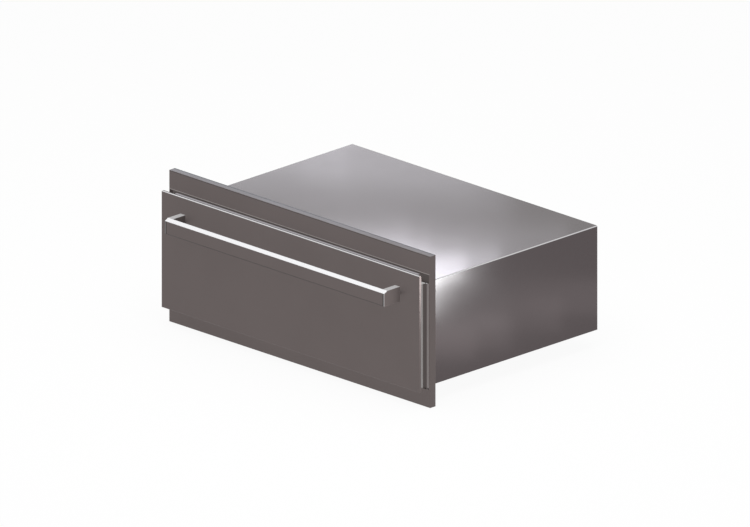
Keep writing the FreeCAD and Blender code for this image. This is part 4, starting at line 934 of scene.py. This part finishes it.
class WDRAWER_OT_dial(bpy.types.Operator):
    """Prints the heat marks round the knob and ON and OFF beside the switch"""

    bl_idname = "wdrawer.dial"
    bl_label = "Printed Marks"

    def execute(self, context):
        sizes = context.scene.wdrawer_dial
        ink = MATERIALS["ink"]
        low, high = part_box("thermostat_knob")
        x, z = (low.x + high.x) / 2, (low.z + high.z) / 2
        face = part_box("control_panel")[0].y - sizes.film / 2
        values = {"Marks": sizes.marks, "Radius": sizes.radius, "Film": sizes.film}
        grown("dial_marks", points_mesh("dial_place", (x, face, z)), tick_tree(ink), values, "casing")
        low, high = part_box("switch_housing")
        middle = (low.z + high.z) / 2
        places = {text: (low.x - SWITCH_MARK_GAP, face, middle + rise)
                  for text, rise in (("ON", SWITCH_MARK_GAP), ("OFF", -SWITCH_MARK_GAP))}
        numbers = {}
        for n in PRINTED_NUMBERS:
            angle = DIAL_SWEEP * (n / (sizes.marks - 1) - 0.5)
            numbers[str(n)] = (x + NUMBER_RADIUS * math.sin(angle), face,
                               z + NUMBER_RADIUS * math.cos(angle) * NUMBER_SQUEEZE)
        words = [printed_word(text, sizes.numbers, sizes.film, place)
                 for text, place in {**numbers, **places}.items()]
        settled("printed_numbers", merged("printed_numbers", words, ink), "casing")
        return {"FINISHED"}


# ---- knob

SPINDLE_BORE = 0.00305
BOSS_RADIUS = 0.0035
BOSS_DEPTH = 0.0012
KNOB_STEPS = 72
GRIP_CORNER_STEPS = 6
SHARP_EDGE = math.radians(38)
POINTER_WIDTH = 0.0009
POINTER_DEPTH = 0.0003
POINTER_SUNK = 0.00016
POINTER_EASE = 0.00008
# Shares of the knob's radius.
POINTER_LENGTH = 0.62
POINTER_MIDDLE = 0.52


def lathed(mesh, middle, profile, steps):
    """Adds a closed turned shape about the Y axis through middle. The profile is (radius, y) in order."""
    rings = []
    for radius, y in profile:
        rings.append([
            mesh.verts.new((middle[0] + radius * math.cos(math.tau * n / steps), y,
                            middle[1] + radius * math.sin(math.tau * n / steps)))
            for n in range(steps)
        ])
    bridged(mesh, rings)


def bridged(mesh, rings):
    """Adds the faces between each ring of corners and the next."""
    for lower, upper in zip(rings, rings[1:]):
        for n in range(len(lower)):
            after = (n + 1) % len(lower)
            mesh.faces.new((lower[n], lower[after], upper[after], upper[n]))


def grip_ring(mesh, x, y, z, wide, tall):
    """The corners of a round-ended rectangle that faces -Y."""
    turn = wide * 0.8
    ring = []
    for corner_x, corner_z, start in ((1, 1, 0), (-1, 1, 90), (-1, -1, 180), (1, -1, 270)):
        for n in range(GRIP_CORNER_STEPS + 1):
            angle = math.radians(start + 90 / GRIP_CORNER_STEPS * n)
            ring.append(mesh.verts.new((
                x + corner_x * (wide - turn) + turn * math.cos(angle), y,
                z + corner_z * (tall - turn) + turn * math.sin(angle))))
    return ring


def knob_mesh(name, low, high, skirt, grip, material):
    """A round skirt with a rounded grip bar across it."""
    mesh = bmesh.new()
    x, z = (low.x + high.x) / 2, (low.z + high.z) / 2
    radius, back, front = (high.x - low.x) / 2, high.y, low.y
    shelf = back - skirt
    boss = shelf + BOSS_DEPTH
    lathed(mesh, (x, z), [
        (SPINDLE_BORE, back), (radius - 0.0003, back), (radius, back - 0.0003),
        (radius - 0.0002, shelf + 0.0008), (radius - 0.0010, shelf), (BOSS_RADIUS, shelf),
        (BOSS_RADIUS, boss), (SPINDLE_BORE, boss), (SPINDLE_BORE, back)], KNOB_STEPS)
    bmesh.ops.remove_doubles(mesh, verts=mesh.verts, dist=1e-7)
    half = radius - 0.0009
    rows = ((shelf + 0.0004, 1.0), (shelf - 0.0030, 0.97), (front + 0.0012, 0.93),
            (front + 0.0004, 0.86), (front, 0.74))
    rings = [grip_ring(mesh, x, y, z, grip / 2 * share, half * (0.5 + share / 2)) for y, share in rows]
    bridged(mesh, rings)
    mesh.faces.new(rings[0])
    mesh.faces.new(rings[-1])
    bmesh.ops.recalc_face_normals(mesh, faces=mesh.faces)
    made = mesh_from(mesh, name, material)
    made.shade_smooth()
    made.set_sharp_from_angle(angle=SHARP_EDGE)
    return made


def pointer_mesh(name, low, high, material):
    """A thin raised line from the knob's middle towards its rim."""
    line = bmesh.new()
    bmesh.ops.create_cube(line, size=1.0)
    reach = (high.x - low.x) / 2
    rise = (low.z + high.z) / 2 + reach * POINTER_MIDDLE
    middle = Vector(((low.x + high.x) / 2, low.y + POINTER_SUNK, rise))
    size = Vector((POINTER_WIDTH, POINTER_DEPTH, reach * POINTER_LENGTH))
    for vertex in line.verts:
        vertex.co = middle + vertex.co * size
    bmesh.ops.bevel(line, geom=line.edges[:], offset=POINTER_EASE, segments=2, affect="EDGES")
    return mesh_from(line, name, material)


class WDRAWER_OT_knob(bpy.types.Operator):
    """Makes the thermostat's knob and its white pointer"""

    bl_idname = "wdrawer.knob"
    bl_label = "Knob"

    def execute(self, context):
        sizes = context.scene.wdrawer_dial
        low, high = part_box("thermostat_knob")
        knob = knob_mesh("grip_knob", low, high, sizes.skirt, sizes.grip, MATERIALS["knob_plastic"])
        settled("grip_knob", knob, "knob", ("thermostat_knob",))
        pointer = pointer_mesh("knob_pointer", low, high, MATERIALS["pointer"])
        settled("knob_pointer", pointer, "knob")
        return {"FINISHED"}


# ---- studio

FLOOR_SIZE = 24.0
FLOOR_GAP = 0.0005
VIEW_WIDTH = 1.55
VIEW_TARGET = Vector((0.30436, -0.34774, 0.2800))
VIEW_DISTANCE = 3.0
VIEW_BACK = Vector((2.0, -2.0, 1.0)) / 3.0
# The ways that the line of sight leaves the casing's top and its side.
TOP_RAY = Vector((-VIEW_BACK.x, -VIEW_BACK.y, VIEW_BACK.z))
SIDE_RAY = Vector((VIEW_BACK.x, -VIEW_BACK.y, -VIEW_BACK.z))

# Satin faces close behind these show only a haze of them, so they are kept out of mirrored light.
UNMIRRORED = (
    "handle", "front_panel", "panel_core", "panel_backing", "inner_front", "front_insulation", "door_gasket",
    "drawer_front_screws", "trim_frame", "header_cove", "left_gutter", "right_gutter")

COOL = (0.88, 0.92, 1.0)
CLEAR = (0.86, 1.0, 1.0)
LILAC = (0.66, 0.82, 1.0)
WHITE = (1.0, 1.0, 1.0)

# name, centre, target, width, height, level, tint, the setting it shares, the nodes it lights
SOFTBOXES = (
    ("overhead", (0.3, -0.4, 2.2), (0.0, -0.1, 0.2), 2.0, 2.0, 1.0, WHITE, "overhead", ()),
    ("crown_box", (-1.33, -0.04, 1.67), (0.0, -0.33, 0.2), 1.2, 2.0, 0.90, WHITE, "front",
     ("handle", "front_panel")),
    ("flange_box", (-1.35, 1.05, 0.85), (0.0, -0.3, 0.2), 1.0, 0.6, 1.6, LILAC, "front", ("trim_frame",)),
    ("handle_end_box", (1.10, -0.36, 0.25), (0.32, -0.32, 0.20), 0.5, 0.5, 5.4, WHITE, "front", ("handle",)),
    ("panel_edge_box", (0.56, -0.10, 0.17), (0.376, -0.29, 0.25), 0.12, 0.12, 9.0, WHITE, "front",
     ("front_panel",)),
)

# Small lamps that shade the casing. Each stands where the face mirrors it to the camera at its target.
TOP_DISTANCE = 0.6
# name, x and y of the target, width, height, level
TOP_LAMPS = (
    ("top_corner", 0.36, -0.25, 0.30, 0.12, 1.70),
    ("top_front", 0.36, -0.35, 0.30, 0.12, 4.50),
    ("top_front_left", 0.20, -0.30, 0.30, 0.12, 1.42),
    ("top_middle", 0.10, -0.25, 0.30, 0.12, 0.80),
    ("top_right", 0.36, -0.05, 0.30, 0.12, 0.50),
    ("top_back_left", -0.60, 0.20, 0.36, 0.24, 1.70),
    ("top_back", -0.40, 0.40, 0.36, 0.24, 0.40),
    ("top_back_middle", -0.30, 0.40, 0.36, 0.24, 1.17),
)
# name, y and z of the target, distance, width, height, level, tint
SIDE_LAMPS = (
    ("side_corner", -0.29, 0.27, 0.3, 0.10, 0.08, 11.0, CLEAR),
    ("side_corner_low", -0.29, 0.21, 0.3, 0.10, 0.08, 5.0, CLEAR),
    ("side_top", -0.23, 0.27, 0.3, 0.10, 0.08, 10.4, CLEAR),
    ("side_top_far", -0.19, 0.27, 0.5, 0.14, 0.12, 1.40, CLEAR),
    ("side_spot", -0.207, 0.190, 0.3, 0.05, 0.03, 1.8, CLEAR),
    ("side_middle", -0.15, 0.15, 0.3, 0.20, 0.10, 0.17, CLEAR),
    ("side_low_front", -0.25, 0.08, 0.3, 0.20, 0.10, 0.34, WHITE),
    ("side_low", -0.15, 0.08, 0.3, 0.20, 0.10, 0.36, WHITE),
    ("side_low_middle", 0.0, 0.08, 0.3, 0.20, 0.10, 0.24, WHITE),
    ("side_low_back", 0.15, 0.08, 0.3, 0.20, 0.10, 0.30, WHITE),
)


def aim(thing, centre, target):
    """Places a lamp or camera and points it."""
    thing.location = centre
    thing.rotation_mode = "QUATERNION"
    thing.rotation_quaternion = (Vector(target) - Vector(centre)).to_track_quat("-Z", "Y")


def softbox(name, centre, target, width, height, radiance, tint, lit=()):
    """A rectangular lamp of a given radiance, unseen by the camera. It lights these nodes, or everything."""
    data = bpy.data.lights.new(name, "AREA")
    data.shape = "RECTANGLE"
    data.size, data.size_y = width, height
    data.energy = radiance * math.pi * width * height
    data.color = tint
    lamp = put(name, data)
    aim(lamp, centre, target)
    lamp.visible_camera = False
    if lit:
        receivers = bpy.data.collections.new(name + "_receivers")
        for node in lit:
            receivers.objects.link(frame["nodes"][node])
        lamp.light_linking.receiver_collection = receivers


def split_shader(owner, output, soft, direct, share):
    """Gives a world or a material one shader for soft light, and another for rays straight from the eye.

    Each shader is its kind and its inputs. Mirrored and refracted rays count as straight, and share is how
    much of the second one they see.
    """
    owner.use_nodes = True
    tree = Tree(owner.node_tree)
    tree.tree.nodes.clear()
    path = tree.add("ShaderNodeLightPath").outputs
    straight = tree.maths("MAXIMUM", path["Is Glossy Ray"], path["Is Transmission Ray"])
    straight = tree.maths("MAXIMUM", path["Is Camera Ray"], straight)
    mix = tree.add("ShaderNodeMixShader")
    tree.feed(mix.inputs[0], tree.times(straight, share))
    for socket, (kind, inputs) in zip(mix.inputs[1:], (soft, direct)):
        tree.feed(socket, tree.out(kind, **inputs))
    tree.add(output, Surface=mix.outputs[0])


def make_surround(level):
    """A white surround: plain white to the eye and in reflections, and a little lower as soft light."""
    world = bpy.data.worlds.new("surround")
    bpy.context.scene.world = world
    split_shader(
        world, "ShaderNodeOutputWorld", ("ShaderNodeBackground", {"Color": shade(WHITE), "Strength": level}),
        ("ShaderNodeBackground", {"Color": shade(WHITE)}), 1.0)


def make_floor(height):
    """A wide pale floor that reads white and keeps a faint shadow."""
    mesh = bpy.data.meshes.new("studio_floor")
    half = FLOOR_SIZE / 2
    corners = [(-half, -half, height), (half, -half, height), (half, half, height), (-half, half, height)]
    mesh.from_pydata(corners, [], [(0, 1, 2, 3)])
    floor = put("studio_floor", mesh)
    paper = bpy.data.materials.new("floor_paper")
    split_shader(
        paper, "ShaderNodeOutputMaterial", ("ShaderNodeBsdfDiffuse", {"Color": shade(WHITE, 0.90)}),
        ("ShaderNodeEmission", {"Color": shade(WHITE)}), 0.93)
    mesh.materials.append(paper)


def make_camera():
    """A parallel view from the front right, a little above."""
    data = bpy.data.cameras.new("camera")
    data.type = "ORTHO"
    data.ortho_scale = VIEW_WIDTH
    camera = put("camera", data)
    aim(camera, VIEW_TARGET + VIEW_BACK * VIEW_DISTANCE, VIEW_TARGET)
    bpy.context.scene.camera = camera


def make_lamps(levels):
    """The wide lamp, those that draw the front's edges, and those that shade the casing."""
    for name, centre, target, width, height, level, tint, share, lit in SOFTBOXES:
        softbox(name, centre, target, width, height, level * getattr(levels, share), tint, lit)
    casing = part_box("casing_wrap")[1]
    lamps = [(name, TOP_RAY, (x, y, casing.z), TOP_DISTANCE, *rest, COOL) for name, x, y, *rest in TOP_LAMPS]
    lamps += [(name, SIDE_RAY, (casing.x, y, z), *rest) for name, y, z, *rest in SIDE_LAMPS]
    for name, ray, target, distance, width, height, level, tint in lamps:
        centre = Vector(target) + ray * distance
        softbox(name, centre, target, width, height, level * levels.casing, tint, ("casing_wrap",))


class WDRAWER_OT_studio(bpy.types.Operator):
    """Builds the floor, surround, lamps and camera"""

    bl_idname = "wdrawer.studio"
    bl_label = "Studio"

    def execute(self, context):
        levels = context.scene.wdrawer_studio
        bpy.context.scene.view_settings.view_transform = "Standard"
        make_camera()
        make_surround(levels.surround)
        make_floor(CAD_BOX[0][2] - FLOOR_GAP)
        for name in UNMIRRORED:
            frame["nodes"][name].visible_glossy = False
        make_lamps(levels)
        return {"FINISHED"}


# ---- add-on

OPERATORS = (
    WDRAWER_OT_finishes, WDRAWER_OT_screws, WDRAWER_OT_rack, WDRAWER_OT_dial, WDRAWER_OT_knob,
    WDRAWER_OT_studio)
SETTINGS = {
    "wdrawer_finishes": FinishSettings, "wdrawer_screws": ScrewSettings, "wdrawer_rack": RackSettings,
    "wdrawer_dial": DialSettings, "wdrawer_studio": StudioSettings,
}


class WDRAWER_PT_panel(bpy.types.Panel):
    """Lists the settings and the steps"""

    bl_idname = "WDRAWER_PT_panel"
    bl_label = "Warming Drawer"
    bl_space_type = "VIEW_3D"
    bl_region_type = "UI"
    bl_category = "Warming Drawer"

    def draw(self, context):
        for name, group in SETTINGS.items():
            box = self.layout.box()
            for setting in group.__annotations__:
                box.prop(getattr(context.scene, name), setting)
        for operator in OPERATORS:
            self.layout.operator(operator.bl_idname)


def register():
    """Registers the settings, the steps and the panel."""
    for name, group in SETTINGS.items():
        bpy.utils.register_class(group)
        setattr(bpy.types.Scene, name, bpy.props.PointerProperty(type=group))
    for operator in OPERATORS:
        bpy.utils.register_class(operator)
    bpy.utils.register_class(WDRAWER_PT_panel)


def unregister():
    """Undoes register."""
    bpy.utils.unregister_class(WDRAWER_PT_panel)
    for operator in reversed(OPERATORS):
        bpy.utils.unregister_class(operator)
    for name, group in SETTINGS.items():
        delattr(bpy.types.Scene, name)
        bpy.utils.unregister_class(group)


def main():
    """Runs every step in order."""
    register()
    bpy.ops.wdrawer.finishes()
    bpy.ops.wdrawer.screws()
    bpy.ops.wdrawer.rack()
    bpy.ops.wdrawer.dial()
    bpy.ops.wdrawer.knob()
    bpy.ops.wdrawer.studio()


if __name__ == "__main__":
    main()
